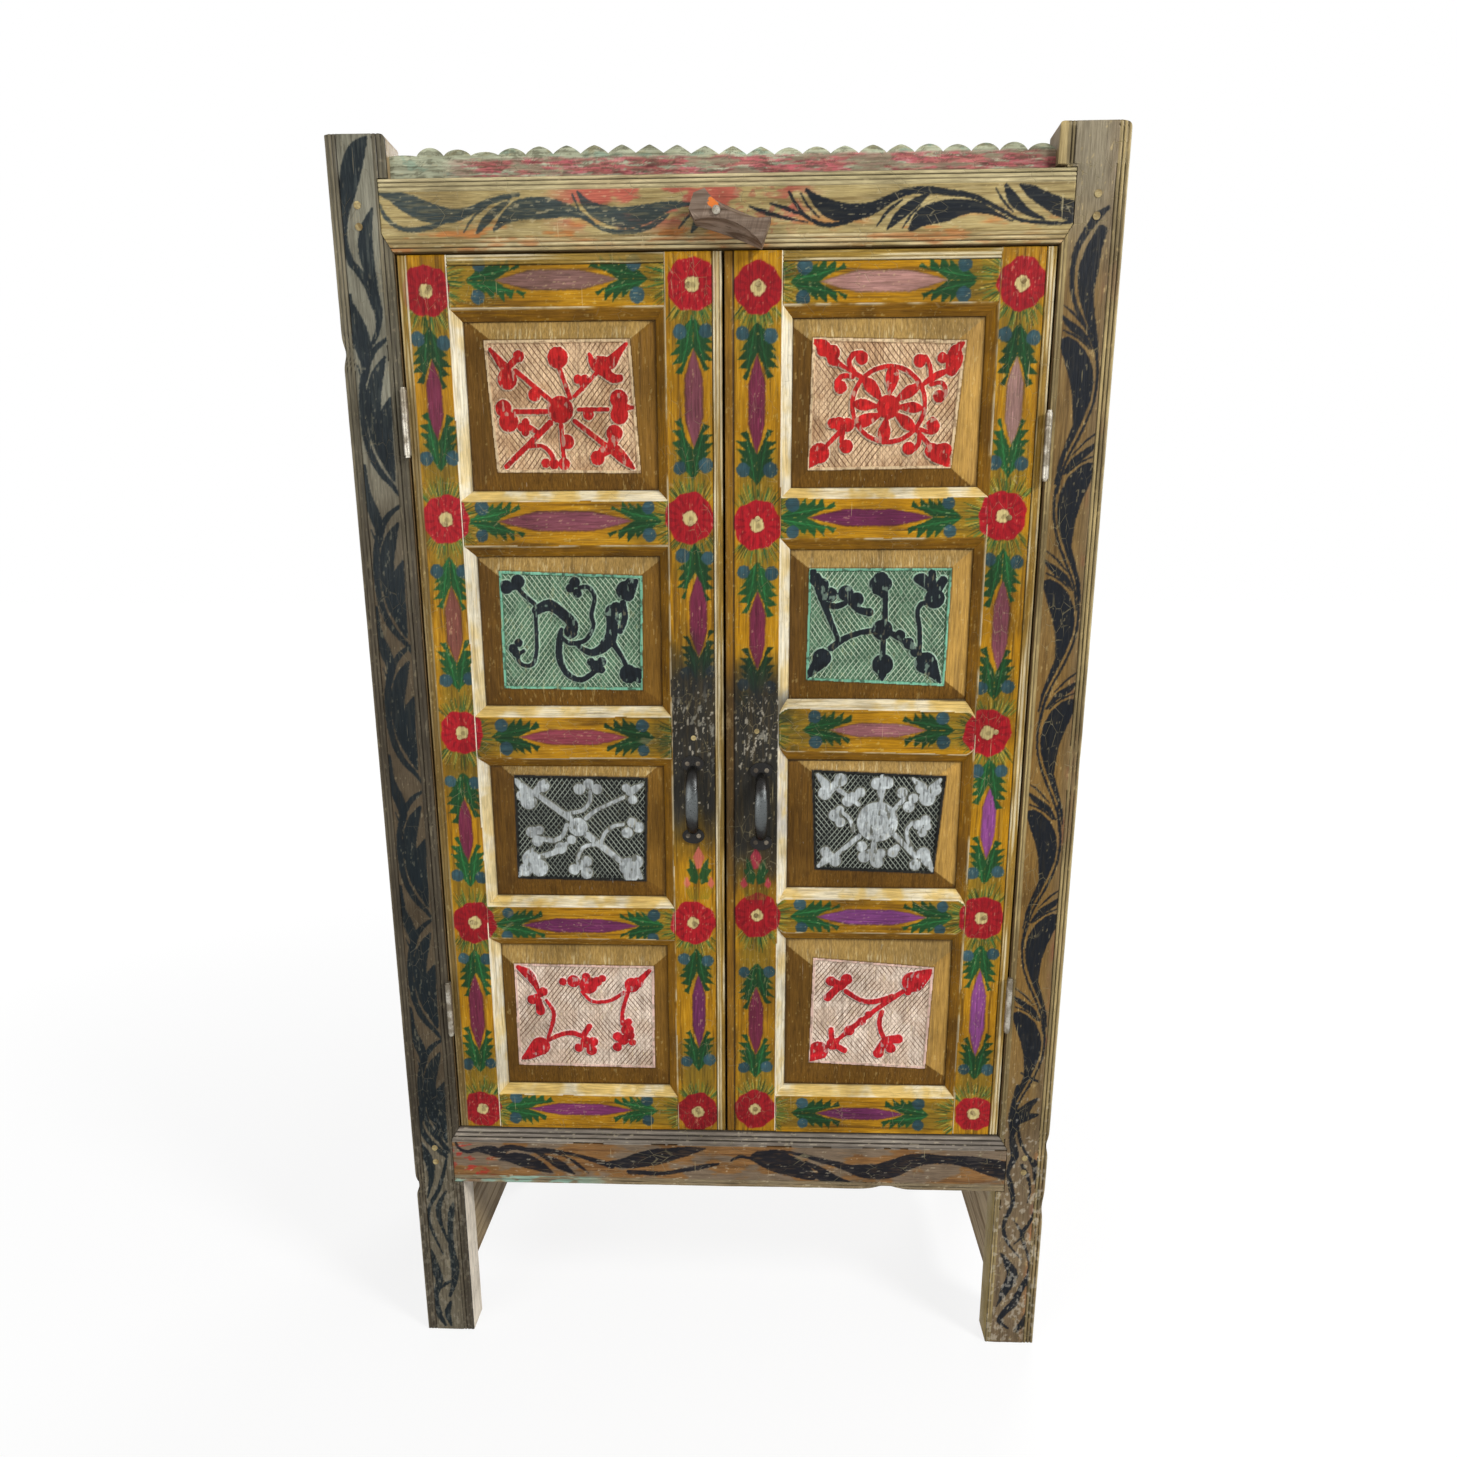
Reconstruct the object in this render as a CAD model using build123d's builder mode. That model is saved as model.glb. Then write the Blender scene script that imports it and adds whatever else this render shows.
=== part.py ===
from build123d import *

import math
import os

# A painted two-door wardrobe: X runs left to right, Y front to back, Z up from the floor.
# The origin is on the floor, in the middle of the wardrobe's outer box.

# Overall size
wardrobe_width = 970.0
wardrobe_height = 1704.0
carcass_depth = 480.0

# Corner posts, and the right-hand horn that overhangs the end of the top rail
post_width = 75.0
post_depth = 50.0
horn_rise = 48.5
horn_overhang = 10.0
horn_gap = 2.0

# Front rails: the top one lies under the horns, the other under the sill of the opening
sill_height = 364.0
bottom_rail_height = 94.0
top_rail_height = 82.5
front_rail_thickness = 40.0
lap_reach = 13.0
lap_depth = 12.0

# Mortise and tenon joints of the carcass
tenon_length = 55.0
tenon_thickness = 12.0
tenon_shoulder = 10.0
tenon_setback = 14.0
side_tenon_length = 16.0
rear_tenon_length = 40.0
joint_fit = 0.1

# Run mouldings: fine grooves that leave rounded beads between them
bead_count = 3
post_bead_pitch = 6.0
rail_bead_pitch = 5.2
sill_bead_pitch = 7.6
door_bead_pitch = 4.2
bead_groove_radius = 1.3
plain_strip_width = 11.0

# Scalloped crest board on the top rail
crest_height = 31.0
crest_thickness = 18.0
crest_setback = 12.0
scallop_pitch = 33.7
scallop_rise = 9.0

# Sides, back, roof and floor
side_rail_thickness = 30.0
side_bottom_rail_rise = 110.0
side_bottom_rail_height = 240.0
side_top_rail_height = 78.0
side_board_thickness = 16.0
side_board_groove = 8.0
side_board_setback = 8.0
rear_rail_thickness = 30.0
back_board_thickness = 16.0
back_board_setback = 2.0
roof_thickness = 17.5
roof_setback = 5.0
floor_thickness = 18.0
side_board_count = 3
back_board_count = 5
roof_board_count = 4
floor_board_count = 4
board_gap = 0.4
seat_gap = 0.3

# Hat shelf, cleats, door stop and hanging rail
hat_space = 273.0
shelf_thickness = 18.0
shelf_setback = 12.0
shelf_board_count = 3
cleat_size = 22.0
stop_gap = 0.5
stop_depth = 14.0
stop_height = 20.0
hanging_rail_radius = 12.5
hanging_rail_drop = 65.0
socket_fit = 0.3
socket_wall = 4.0
socket_length = 20.0
socket_flange_radius = 27.0
socket_flange_thickness = 4.0

# Doors
door_thickness = 30.0
door_setback = 3.0
door_gap = 2.4
door_meeting_gap = 3.0
door_head_gap = 2.0
door_sill_gap = 1.5
bevel_width = 14.0
bevel_depth = 13.5
door_tenon_length = 50.0
door_tenon_thickness = 9.0
door_tenon_shoulder = 4.0
door_top_rail_height = 61.0
panel_lip = 1.0
panel_edge_thickness = 6.0
panel_groove_depth = 8.0
panel_play = 0.6
panel_field_depth = 8.0
panel_margin_side = 27.0
panel_margin_end = 21.0

# The two doors were cut by hand and differ, counted from the bottom rail up
left_outer_stile_width = 61.6
left_inner_stile_width = 71.5
left_bottom_rail_height = 54.5
left_middle_rail_heights = (48.0, 57.0, 56.0)
left_middle_rail_shares = (0.274, 0.4985, 0.7337)
left_hinge_shares = (0.1634, 0.837)
left_handle_inset = 43.5
left_handle_share = 0.4264
right_outer_stile_width = 66.6
right_inner_stile_width = 71.5
right_bottom_rail_height = 59.5
right_middle_rail_heights = (50.0, 58.0, 50.0)
right_middle_rail_shares = (0.2857, 0.5064, 0.7378)
right_hinge_shares = (0.1771, 0.8092)
right_handle_inset = 48.5
right_handle_share = 0.4189

# Butt hinges, with barrels that stand in front of the frame
hinge_length = 79.0
knuckle_count = 5
knuckle_radius = 4.5
hinge_play = 0.3
hinge_pin_radius = 2.5
hinge_pin_clearance = 0.05
hinge_tip_radius = 3.4
hinge_tip_height = 3.0
leaf_width = 26.0
leaf_thickness = 2.0
leaf_gap = 0.8
hinge_screw_spread = 27.0

# Countersunk screws, and the pegs that lock the joints
screw_head_radius = 3.2
screw_head_height = 1.6
screw_shank_radius = 1.5
screw_length = 16.0
screw_fit = 0.05
door_peg_radius = 3.5
door_peg_length = 26.0
door_peg_proud = 0.6
door_outer_peg_inset = 39.0
door_inner_peg_inset = 42.0
frame_peg_radius = 4.5
frame_peg_length = 34.0
frame_peg_inset = 40.0
frame_peg_spread = 24.0

# Bow handles
handle_length = 125.0
handle_projection = 34.0
handle_flange_width = 31.0
handle_flange_height = 22.0
handle_flange_thickness = 3.0
handle_end_width = 12.0
handle_grip_width = 18.0
handle_end_thickness = 8.0
handle_grip_thickness = 9.0
handle_screw_spread = 15.0
handle_station_count = 9

# Turn latch on its nail, stored turned aside
latch_rise = 34.0
latch_offset = -7.0
latch_rest_angle = 70.0
latch_gap = 0.5
latch_thickness = 26.0
latch_head_length = 32.0
latch_reach = 64.0
latch_head_width = 36.0
latch_crown_width = 18.0
latch_crown_drop = 11.0
latch_foot_width = 32.0
latch_waist_width = 10.0
latch_base_waist_width = 30.0
nail_radius = 2.5
nail_head_radius = 5.0
nail_head_height = 2.4
nail_depth = 30.0
nail_clearance = 0.08

# Levels and planes that the pieces share
half_width = wardrobe_width / 2
post_inner_x = half_width - post_width
handle_reach = handle_projection - door_setback
front_y = (handle_reach - carcass_depth) / 2
back_y = front_y + carcass_depth
front_post_y = (front_y, front_y + post_depth)
rear_post_y = (back_y - post_depth, back_y)
front_rail_y = (front_y, front_y + front_rail_thickness)
back_board_y = (
    back_y - back_board_setback - back_board_thickness,
    back_y - back_board_setback,
)
rear_rail_y = (back_board_y[0] - rear_rail_thickness, back_board_y[0])
head_height = wardrobe_height - horn_rise - top_rail_height
bottom_rail_z = (sill_height - bottom_rail_height, sill_height)
top_rail_z = (head_height, head_height + top_rail_height)
latch_height = head_height + latch_rise
roof_z = (top_rail_z[1] - roof_thickness, top_rail_z[1])
floor_z = (sill_height, sill_height + floor_thickness)
side_bottom_z = (side_bottom_rail_rise, side_bottom_rail_rise + side_bottom_rail_height)
side_top_z = (roof_z[0] - side_top_rail_height, roof_z[0])
side_y = (front_post_y[1], rear_post_y[0])
shelf_z = (head_height - hat_space - shelf_thickness, head_height - hat_space)
door_y = (front_y + door_setback, front_y + door_setback + door_thickness)
door_z = (sill_height + door_sill_gap, head_height - door_head_gap)
door_height = door_z[1] - door_z[0]
hinge_edge_x = post_inner_x - door_gap
meeting_edge_x = door_meeting_gap / 2
stop_y = door_y[1] + stop_gap
hinge_axis_x = post_inner_x - door_gap / 2
hinge_axis_y = front_y - knuckle_radius - hinge_play
leaf_start_y = hinge_axis_y + knuckle_radius + hinge_play
leaf_end_y = leaf_start_y + leaf_width
panel_groove_y = (
    door_y[0] + bevel_depth + panel_lip,
    door_y[0] + bevel_depth + panel_lip + panel_edge_thickness,
)
door_tenon_y = (panel_groove_y[0], panel_groove_y[0] + door_tenon_thickness)

SIDES = {"left": -1, "right": 1}

DOORS = {
    "left": {
        "outer_stile": left_outer_stile_width,
        "inner_stile": left_inner_stile_width,
        "bottom_rail": left_bottom_rail_height,
        "middle_rails": left_middle_rail_heights,
        "middle_rail_shares": left_middle_rail_shares,
        "hinge_shares": left_hinge_shares,
        "handle_inset": left_handle_inset,
        "handle_share": left_handle_share,
    },
    "right": {
        "outer_stile": right_outer_stile_width,
        "inner_stile": right_inner_stile_width,
        "bottom_rail": right_bottom_rail_height,
        "middle_rails": right_middle_rail_heights,
        "middle_rail_shares": right_middle_rail_shares,
        "hinge_shares": right_hinge_shares,
        "handle_inset": right_handle_inset,
        "handle_share": right_handle_share,
    },
}


def limits(a, b):
    """The two ends of a span, lower first."""
    return (min(a, b), max(a, b))


def middle(span):
    return (span[0] + span[1]) / 2


def length(span):
    return span[1] - span[0]


def grown(span, by):
    return (span[0] - by, span[1] + by)


def block(x, y, z, mode=Mode.ADD):
    """A rectangular block between two limits on each axis."""
    with Locations((middle(x), middle(y), middle(z))):
        Box(length(x), length(y), length(z), mode=mode)


def planks(x, y, z, count, along, mode=Mode.ADD):
    """Boards side by side over a space, with a fine gap between them."""
    spans = {"x": x, "y": y}
    start = spans[along][0]
    width = (length(spans[along]) + board_gap) / count
    for index in range(count):
        low = start + index * width
        spans[along] = (low, low + width - board_gap)
        block(spans["x"], spans["y"], z, mode)


def groove_down(x, y, z):
    """A fine groove down a front face."""
    with Locations((x, y, middle(z))):
        Cylinder(bead_groove_radius, length(z), mode=Mode.SUBTRACT)


def groove_across(x, y, z):
    """A fine groove along a front face, from side to side."""
    with Locations(Location((middle(x), y, z), (0, 90, 0))):
        Cylinder(bead_groove_radius, length(x), mode=Mode.SUBTRACT)


def dowel(plane, radius, size, mode=Mode.ADD):
    """A round rod that starts on a plane and runs along its normal."""
    with Locations(plane):
        Cylinder(radius, size, align=(Align.CENTER, Align.CENTER, Align.MIN), mode=mode)


def screw(plane, fit=0.0, mode=Mode.ADD):
    """A countersunk screw whose head is flush with a plane, or the hole that it needs."""
    seated = (Align.CENTER, Align.CENTER, Align.MIN)
    with Locations(plane):
        Cone(
            screw_head_radius + fit,
            screw_shank_radius + fit,
            screw_head_height,
            align=seated,
            mode=mode,
        )
        Cylinder(screw_shank_radius + fit, screw_length + fit, align=seated, mode=mode)


def save(part, name):
    """Labels a finished piece and writes its file."""
    part.label = name
    export_step(part, f"parts/{name}.step")


def hinge_heights(side):
    """The middle height of each hinge of a door."""
    return [door_z[0] + share * door_height for share in DOORS[side]["hinge_shares"]]


def hinge_leaf_z(height):
    return (height - hinge_length / 2, height + hinge_length / 2)


def hinge_screw_planes(side, outward):
    """Where the hinge screws start, on the gap side of the leaves; outward is 1 in the post and -1 in the door."""
    sign = SIDES[side]
    face_x = sign * (hinge_axis_x + outward * leaf_gap / 2)
    y = middle((leaf_start_y, leaf_end_y)) + leaf_thickness
    return [
        Plane(origin=(face_x, y, height + row * hinge_screw_spread), z_dir=(sign * outward, 0, 0))
        for height in hinge_heights(side)
        for row in (-1, 0, 1)
    ]


def frame_peg_heights(rail_z):
    """The heights of the two pegs in a rail end."""
    centre = middle(rail_z)
    return [centre - frame_peg_spread / 2, centre + frame_peg_spread / 2]


def front_peg_planes(side):
    """The pegs that lock the front rails in a front post."""
    x = SIDES[side] * (post_inner_x + frame_peg_inset)
    return [
        Plane(origin=(x, front_y - door_peg_proud, z), z_dir=(0, 1, 0))
        for rail_z in (bottom_rail_z, top_rail_z)
        for z in frame_peg_heights(rail_z)
    ]


def rear_peg_planes(side):
    """The pegs that lock the rear rails in a rear post."""
    x = SIDES[side] * (post_inner_x + rear_tenon_length / 2)
    return [
        Plane(origin=(x, back_y, z), z_dir=(0, -1, 0))
        for rail_z in (bottom_rail_z, side_top_z)
        for z in frame_peg_heights(rail_z)
    ]


side_tenon_x = (
    post_inner_x + side_rail_thickness / 2 - tenon_thickness / 2,
    post_inner_x + side_rail_thickness / 2 + tenon_thickness / 2,
)
side_board_x = (
    post_inner_x + side_board_setback,
    post_inner_x + side_board_setback + side_board_thickness,
)
side_board_z = (side_bottom_z[1] - side_board_groove, side_top_z[0] + side_board_groove)
front_tenon_y = (front_y + tenon_setback, front_y + tenon_setback + tenon_thickness)
rear_tenon_y = (rear_rail_y[1] - tenon_thickness, rear_rail_y[1])


def mirrored(span, sign):
    """The same span on the left or the right side."""
    return limits(sign * span[0], sign * span[1])


def side_joinery(sign, face_y, inward):
    """Mortises and the board groove in the face of a post that looks at the side frame."""
    for rail_z in (side_bottom_z, side_top_z):
        tenon_z = grown(rail_z, joint_fit - tenon_shoulder)
        deep = limits(face_y, face_y + inward * (side_tenon_length + joint_fit))
        block(mirrored(grown(side_tenon_x, joint_fit), sign), deep, tenon_z, Mode.SUBTRACT)
    groove = limits(face_y, face_y + inward * (side_board_groove + joint_fit))
    board_z = grown(side_board_z, joint_fit)
    block(mirrored(grown(side_board_x, joint_fit), sign), groove, board_z, Mode.SUBTRACT)


def front_post(side):
    """A front post with its beads, joints and hinge seats."""
    sign = SIDES[side]
    inner_x = sign * post_inner_x
    outer_x = sign * half_width
    full_z = (0, wardrobe_height)
    with BuildPart() as post:
        block(limits(inner_x, outer_x), front_post_y, full_z)
        if side == "right":
            overhang_x = limits(inner_x, inner_x - sign * horn_overhang)
            block(overhang_x, front_post_y, (top_rail_z[1] + horn_gap, wardrobe_height))
        for index in range(1, bead_count + 1):
            groove_down(outer_x - sign * index * post_bead_pitch, front_y, full_z)
            groove_down(inner_x + sign * index * post_bead_pitch, front_y, full_z)
        for rail_z in (bottom_rail_z, top_rail_z):
            lap_x = limits(inner_x, inner_x + sign * lap_reach)
            block(lap_x, (front_y, front_y + lap_depth), rail_z, Mode.SUBTRACT)
            tenon_x = limits(inner_x, inner_x + sign * (tenon_length + joint_fit))
            tenon_z = grown(rail_z, joint_fit - tenon_shoulder)
            block(tenon_x, grown(front_tenon_y, joint_fit), tenon_z, Mode.SUBTRACT)
        side_joinery(sign, front_post_y[1], -1)
        for plane in front_peg_planes(side):
            dowel(plane, frame_peg_radius, frame_peg_length + door_peg_proud, Mode.SUBTRACT)
        for height in hinge_heights(side):
            seat_x = limits(inner_x, sign * (hinge_axis_x + leaf_gap / 2 + leaf_thickness))
            seat_z = grown(hinge_leaf_z(height), joint_fit)
            block(seat_x, (front_y, leaf_end_y + joint_fit), seat_z, Mode.SUBTRACT)
        for plane in hinge_screw_planes(side, 1):
            screw(plane, screw_fit, Mode.SUBTRACT)
    return post.part


def rear_post(side):
    """A rear post, cut off under the roof boards."""
    sign = SIDES[side]
    inner_x = sign * post_inner_x
    with BuildPart() as post:
        block(limits(inner_x, sign * half_width), rear_post_y, (0, roof_z[0]))
        for rail_z in (bottom_rail_z, side_top_z):
            tenon_x = limits(inner_x, inner_x + sign * (rear_tenon_length + joint_fit))
            tenon_z = grown(rail_z, joint_fit - tenon_shoulder)
            block(tenon_x, grown(rear_tenon_y, joint_fit), tenon_z, Mode.SUBTRACT)
        side_joinery(sign, rear_post_y[0], 1)
        for plane in rear_peg_planes(side):
            dowel(plane, frame_peg_radius, frame_peg_length, Mode.SUBTRACT)
    return post.part


def front_rail(rail_z, top_pitch, bottom_pitch):
    """A front rail lapped over the posts' inner beads, with a moulding along each edge."""
    lapped_x = (-post_inner_x - lap_reach, post_inner_x + lap_reach)
    with BuildPart() as rail:
        block((-post_inner_x, post_inner_x), front_rail_y, rail_z)
        block(lapped_x, (front_y, front_y + lap_depth), rail_z)
        tenon_x = (-post_inner_x - tenon_length, post_inner_x + tenon_length)
        block(tenon_x, front_tenon_y, grown(rail_z, -tenon_shoulder))
        for index in range(1, bead_count + 1):
            groove_across(lapped_x, front_y, rail_z[1] - index * top_pitch)
            groove_across(lapped_x, front_y, rail_z[0] + index * bottom_pitch)
        for side in SIDES:
            for plane in front_peg_planes(side):
                dowel(plane, frame_peg_radius, frame_peg_length + door_peg_proud, Mode.SUBTRACT)
        if rail_z == top_rail_z:
            nail_hole = Plane(origin=(latch_offset, front_y, latch_height), z_dir=(0, 1, 0))
            dowel(nail_hole, nail_radius, nail_depth, Mode.SUBTRACT)
    return rail.part


def rear_rail(rail_z):
    """A plain rail between the rear posts."""
    with BuildPart() as rail:
        block((-post_inner_x, post_inner_x), rear_rail_y, rail_z)
        tenon_x = (-post_inner_x - rear_tenon_length, post_inner_x + rear_tenon_length)
        block(tenon_x, rear_tenon_y, grown(rail_z, -tenon_shoulder))
        for side in SIDES:
            for plane in rear_peg_planes(side):
                dowel(plane, frame_peg_radius, frame_peg_length, Mode.SUBTRACT)
    return rail.part


def side_rail(side, rail_z, groove_z):
    """A side rail tenoned into both posts, with a groove for the side boards."""
    sign = SIDES[side]
    rail_x = mirrored((post_inner_x, post_inner_x + side_rail_thickness), sign)
    with BuildPart() as rail:
        block(rail_x, side_y, rail_z)
        tenon_y = grown(side_y, side_tenon_length)
        block(mirrored(side_tenon_x, sign), tenon_y, grown(rail_z, -tenon_shoulder))
        groove_x = mirrored(grown(side_board_x, joint_fit), sign)
        block(groove_x, tenon_y, groove_z, Mode.SUBTRACT)
    return rail.part


def crest_board():
    """The board with a scalloped top edge that stands on the top rail between the horns."""
    span = (-post_inner_x + seat_gap, post_inner_x - horn_overhang - seat_gap)
    count = round(length(span) / scallop_pitch)
    pitch = length(span) / count
    shoulder_z = top_rail_z[1] + crest_height - scallop_rise
    back_plane = Plane.XZ.offset(-front_y - crest_setback - crest_thickness)
    with BuildPart() as board:
        with BuildSketch(back_plane):
            with BuildLine():
                Line((span[0], shoulder_z), (span[0], top_rail_z[1]))
                Line((span[0], top_rail_z[1]), (span[1], top_rail_z[1]))
                Line((span[1], top_rail_z[1]), (span[1], shoulder_z))
                for index in range(count):
                    left = span[0] + index * pitch
                    ThreePointArc(
                        (left, shoulder_z),
                        (left + pitch / 2, shoulder_z + scallop_rise),
                        (left + pitch, shoulder_z),
                    )
            make_face()
        extrude(amount=crest_thickness)
    return board.part


def side_boards(side):
    """Upright boards held in the grooves of one side frame."""
    sign = SIDES[side]
    with BuildPart() as boards:
        board_y = grown(side_y, side_board_groove)
        planks(mirrored(side_board_x, sign), board_y, side_board_z, side_board_count, "y")
    return boards.part


def roof_boards():
    """Roof boards that run from side to side, notched round the front posts."""
    with BuildPart() as boards:
        across_x = (roof_setback - half_width, half_width - roof_setback)
        planks(across_x, (front_rail_y[1], back_y), roof_z, roof_board_count, "y")
        for sign in SIDES.values():
            post_x = mirrored((post_inner_x - seat_gap, half_width), sign)
            block(post_x, grown(front_post_y, seat_gap), roof_z, Mode.SUBTRACT)
    return boards.part


def between_boards(y, z, count, along):
    """Boards that fill the width between the posts."""
    with BuildPart() as boards:
        across_x = (seat_gap - post_inner_x, post_inner_x - seat_gap)
        planks(across_x, y, z, count, along)
    return boards.part


def cleats():
    """Square cleats on the side frames that carry the floor and the hat shelf."""
    with BuildPart() as pieces:
        for sign in SIDES.values():
            cleat_x = mirrored((post_inner_x - cleat_size, post_inner_x), sign)
            floor_y = (front_rail_y[1], rear_rail_y[0])
            block(cleat_x, floor_y, (floor_z[0] - cleat_size, floor_z[0]))
            shelf_y = (stop_y + stop_gap, back_board_y[0])
            block(cleat_x, shelf_y, (shelf_z[0] - cleat_size, shelf_z[0]))
    return pieces.part


hanging_rail_z = shelf_z[0] - hanging_rail_drop
hanging_rail_y = middle((door_y[1], back_board_y[0]))


def hanging_rail():
    """The round rail that clothes hang from."""
    reach = side_board_x[0] - socket_flange_thickness - seat_gap
    with BuildPart() as rail:
        start = Plane(origin=(-reach, hanging_rail_y, hanging_rail_z), z_dir=(1, 0, 0))
        dowel(start, hanging_rail_radius, reach * 2)
    return rail.part


def rail_sockets():
    """Round cups on the side boards that hold the ends of the hanging rail."""
    bore = hanging_rail_radius + socket_fit
    with BuildPart() as sockets:
        for sign in SIDES.values():
            origin = (sign * side_board_x[0], hanging_rail_y, hanging_rail_z)
            inward = Plane(origin=origin, z_dir=(-sign, 0, 0))
            dowel(inward, socket_flange_radius, socket_flange_thickness)
            dowel(inward, bore + socket_wall, socket_length)
            mouth = inward.offset(socket_flange_thickness)
            dowel(mouth, bore, socket_length, Mode.SUBTRACT)
    return sockets.part


def frame_pegs():
    """The pegs that lock the front and rear rails in the posts."""
    with BuildPart() as pegs:
        for side in SIDES:
            for plane in front_peg_planes(side):
                dowel(plane, frame_peg_radius, frame_peg_length + door_peg_proud)
            for plane in rear_peg_planes(side):
                dowel(plane, frame_peg_radius, frame_peg_length)
    return pegs.part


def hinge_leaf(side, height, outward):
    """One leaf of a hinge with its knuckles: outward is 1 for the post's leaf and -1 for the door's."""
    sign = SIDES[side]
    near_x = hinge_axis_x + outward * leaf_gap / 2
    leaf_x = mirrored(limits(near_x, near_x + outward * leaf_thickness), sign)
    leaf_z = hinge_leaf_z(height)
    block(leaf_x, (leaf_start_y, leaf_end_y), leaf_z)
    knuckle_height = hinge_length / knuckle_count
    for index in range(knuckle_count):
        if (index % 2 == 0) == (outward > 0):
            low = leaf_z[0] + index * knuckle_height
            knuckle_z = (low + hinge_play / 2, low + knuckle_height - hinge_play / 2)
            with Locations((sign * hinge_axis_x, hinge_axis_y, middle(knuckle_z))):
                Cylinder(knuckle_radius, length(knuckle_z))
            block(leaf_x, (hinge_axis_y, leaf_start_y + hinge_play), knuckle_z)
    with Locations((sign * hinge_axis_x, hinge_axis_y, height)):
        Cylinder(hinge_pin_radius + hinge_pin_clearance, hinge_length, mode=Mode.SUBTRACT)


def hinge_leaves(sides, outward):
    """The leaves that belong to the posts or to one door, with their screw holes."""
    with BuildPart() as leaves:
        for side in sides:
            for height in hinge_heights(side):
                hinge_leaf(side, height, outward)
            for plane in hinge_screw_planes(side, outward):
                screw(plane, screw_fit, Mode.SUBTRACT)
    return leaves.part


def hinge_pins():
    """The hinge pins with their tips, fixed in the posts' knuckles."""
    with BuildPart() as pins:
        for side, sign in SIDES.items():
            for height in hinge_heights(side):
                leaf_z = hinge_leaf_z(height)
                with Locations((sign * hinge_axis_x, hinge_axis_y, height)):
                    Cylinder(hinge_pin_radius, hinge_length + hinge_tip_height)
                for end_z, way in ((leaf_z[0] + hinge_play / 2, -1), (leaf_z[1] - hinge_play / 2, 1)):
                    origin = (sign * hinge_axis_x, hinge_axis_y, end_z)
                    dowel(Plane(origin=origin, z_dir=(0, 0, way)), hinge_tip_radius, hinge_tip_height)
    return pins.part


def frame_hinge_screws():
    """The screws that hold the hinge leaves on the posts."""
    with BuildPart() as screws:
        for side in SIDES:
            for plane in hinge_screw_planes(side, 1):
                screw(plane)
    return screws.part


def latch_nail():
    """The nail that the turn latch swings on."""
    with BuildPart() as nail:
        face_y = front_y - latch_gap - latch_thickness - latch_gap
        head_top = Plane(origin=(latch_offset, face_y - nail_head_height, latch_height), z_dir=(0, 1, 0))
        dowel(head_top, nail_head_radius, nail_head_height)
        dowel(head_top, nail_radius, front_y + nail_depth - head_top.origin.Y)
    return nail.part


def latch_outline(waist_width):
    """The outline of one face of the latch: a blunt head, hollow sides and a square foot."""
    shoulder = latch_crown_drop - latch_head_length
    crown = (-latch_head_length, latch_crown_width / 2)
    head = (shoulder, latch_head_width / 2)
    foot = (latch_reach, latch_foot_width / 2)
    waist = (latch_reach / 2, waist_width / 2)
    Line((crown[0], -crown[1]), crown)
    Line(crown, head)
    ThreePointArc(head, waist, foot)
    Line(foot, (foot[0], -foot[1]))
    ThreePointArc((foot[0], -foot[1]), (waist[0], -waist[1]), (head[0], -head[1]))
    Line((head[0], -head[1]), (crown[0], -crown[1]))


def turn_latch():
    """The carved turn latch, stored turned aside so that both doors can open."""
    angle = math.radians(latch_rest_angle)
    back = Plane(
        origin=(latch_offset, front_y - latch_gap, latch_height),
        x_dir=(math.sin(angle), 0, -math.cos(angle)),
        z_dir=(0, -1, 0),
    )
    with BuildPart() as latch:
        with BuildSketch(back):
            with BuildLine():
                latch_outline(latch_base_waist_width)
            make_face()
        with BuildSketch(back.offset(latch_thickness)):
            with BuildLine():
                latch_outline(latch_waist_width)
            make_face()
        loft()
        dowel(back, nail_radius + nail_clearance, latch_thickness, Mode.SUBTRACT)
    return latch.part


def rail_faces(side):
    """The height limits of the flat front of each rail of a door, bottom rail first."""
    door = DOORS[side]
    faces = [(door_z[0], door_z[0] + door["bottom_rail"])]
    for height, share in zip(door["middle_rails"], door["middle_rail_shares"]):
        centre = door_z[0] + share * door_height
        faces.append((centre - height / 2, centre + height / 2))
    faces.append((door_z[1] - door_top_rail_height, door_z[1]))
    return faces


def rail_span(side, index):
    """The whole height of a rail with its bevels."""
    faces = rail_faces(side)
    low = faces[index][0] - (bevel_width if index > 0 else 0)
    high = faces[index][1] + (bevel_width if index < len(faces) - 1 else 0)
    return (low, high)


def door_tenon_z(side, index):
    return grown(rail_faces(side)[index], -door_tenon_shoulder)


def stile_faces(side):
    """The flat front of the outer and the inner stile, as distances from the middle."""
    door = DOORS[side]
    outer = (hinge_edge_x - door["outer_stile"], hinge_edge_x)
    inner = (meeting_edge_x, meeting_edge_x + door["inner_stile"])
    return outer, inner


def panel_opening_x(side):
    """The clear width between the stiles behind their bevels."""
    outer, inner = stile_faces(side)
    return (inner[1] + bevel_width, outer[0] - bevel_width)


def door_peg_planes(side):
    """One peg through each rail end, in the stiles' faces."""
    sign = SIDES[side]
    insets = (hinge_edge_x - door_outer_peg_inset, meeting_edge_x + door_inner_peg_inset)
    return [
        Plane(origin=(sign * x, door_y[0] - door_peg_proud, middle(rail_span(side, index))), z_dir=(0, 1, 0))
        for x in insets
        for index in range(len(rail_faces(side)))
    ]


def handle_centre(side):
    """The middle of a handle's back, on the face of the inner stile."""
    door = DOORS[side]
    x = SIDES[side] * (meeting_edge_x + door["handle_inset"])
    return (x, door_y[0], door_z[0] + door["handle_share"] * door_height)


def handle_flange_heights(side):
    centre_z = handle_centre(side)[2]
    arm = (handle_length - handle_flange_height) / 2
    return [centre_z - arm, centre_z + arm]


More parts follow.
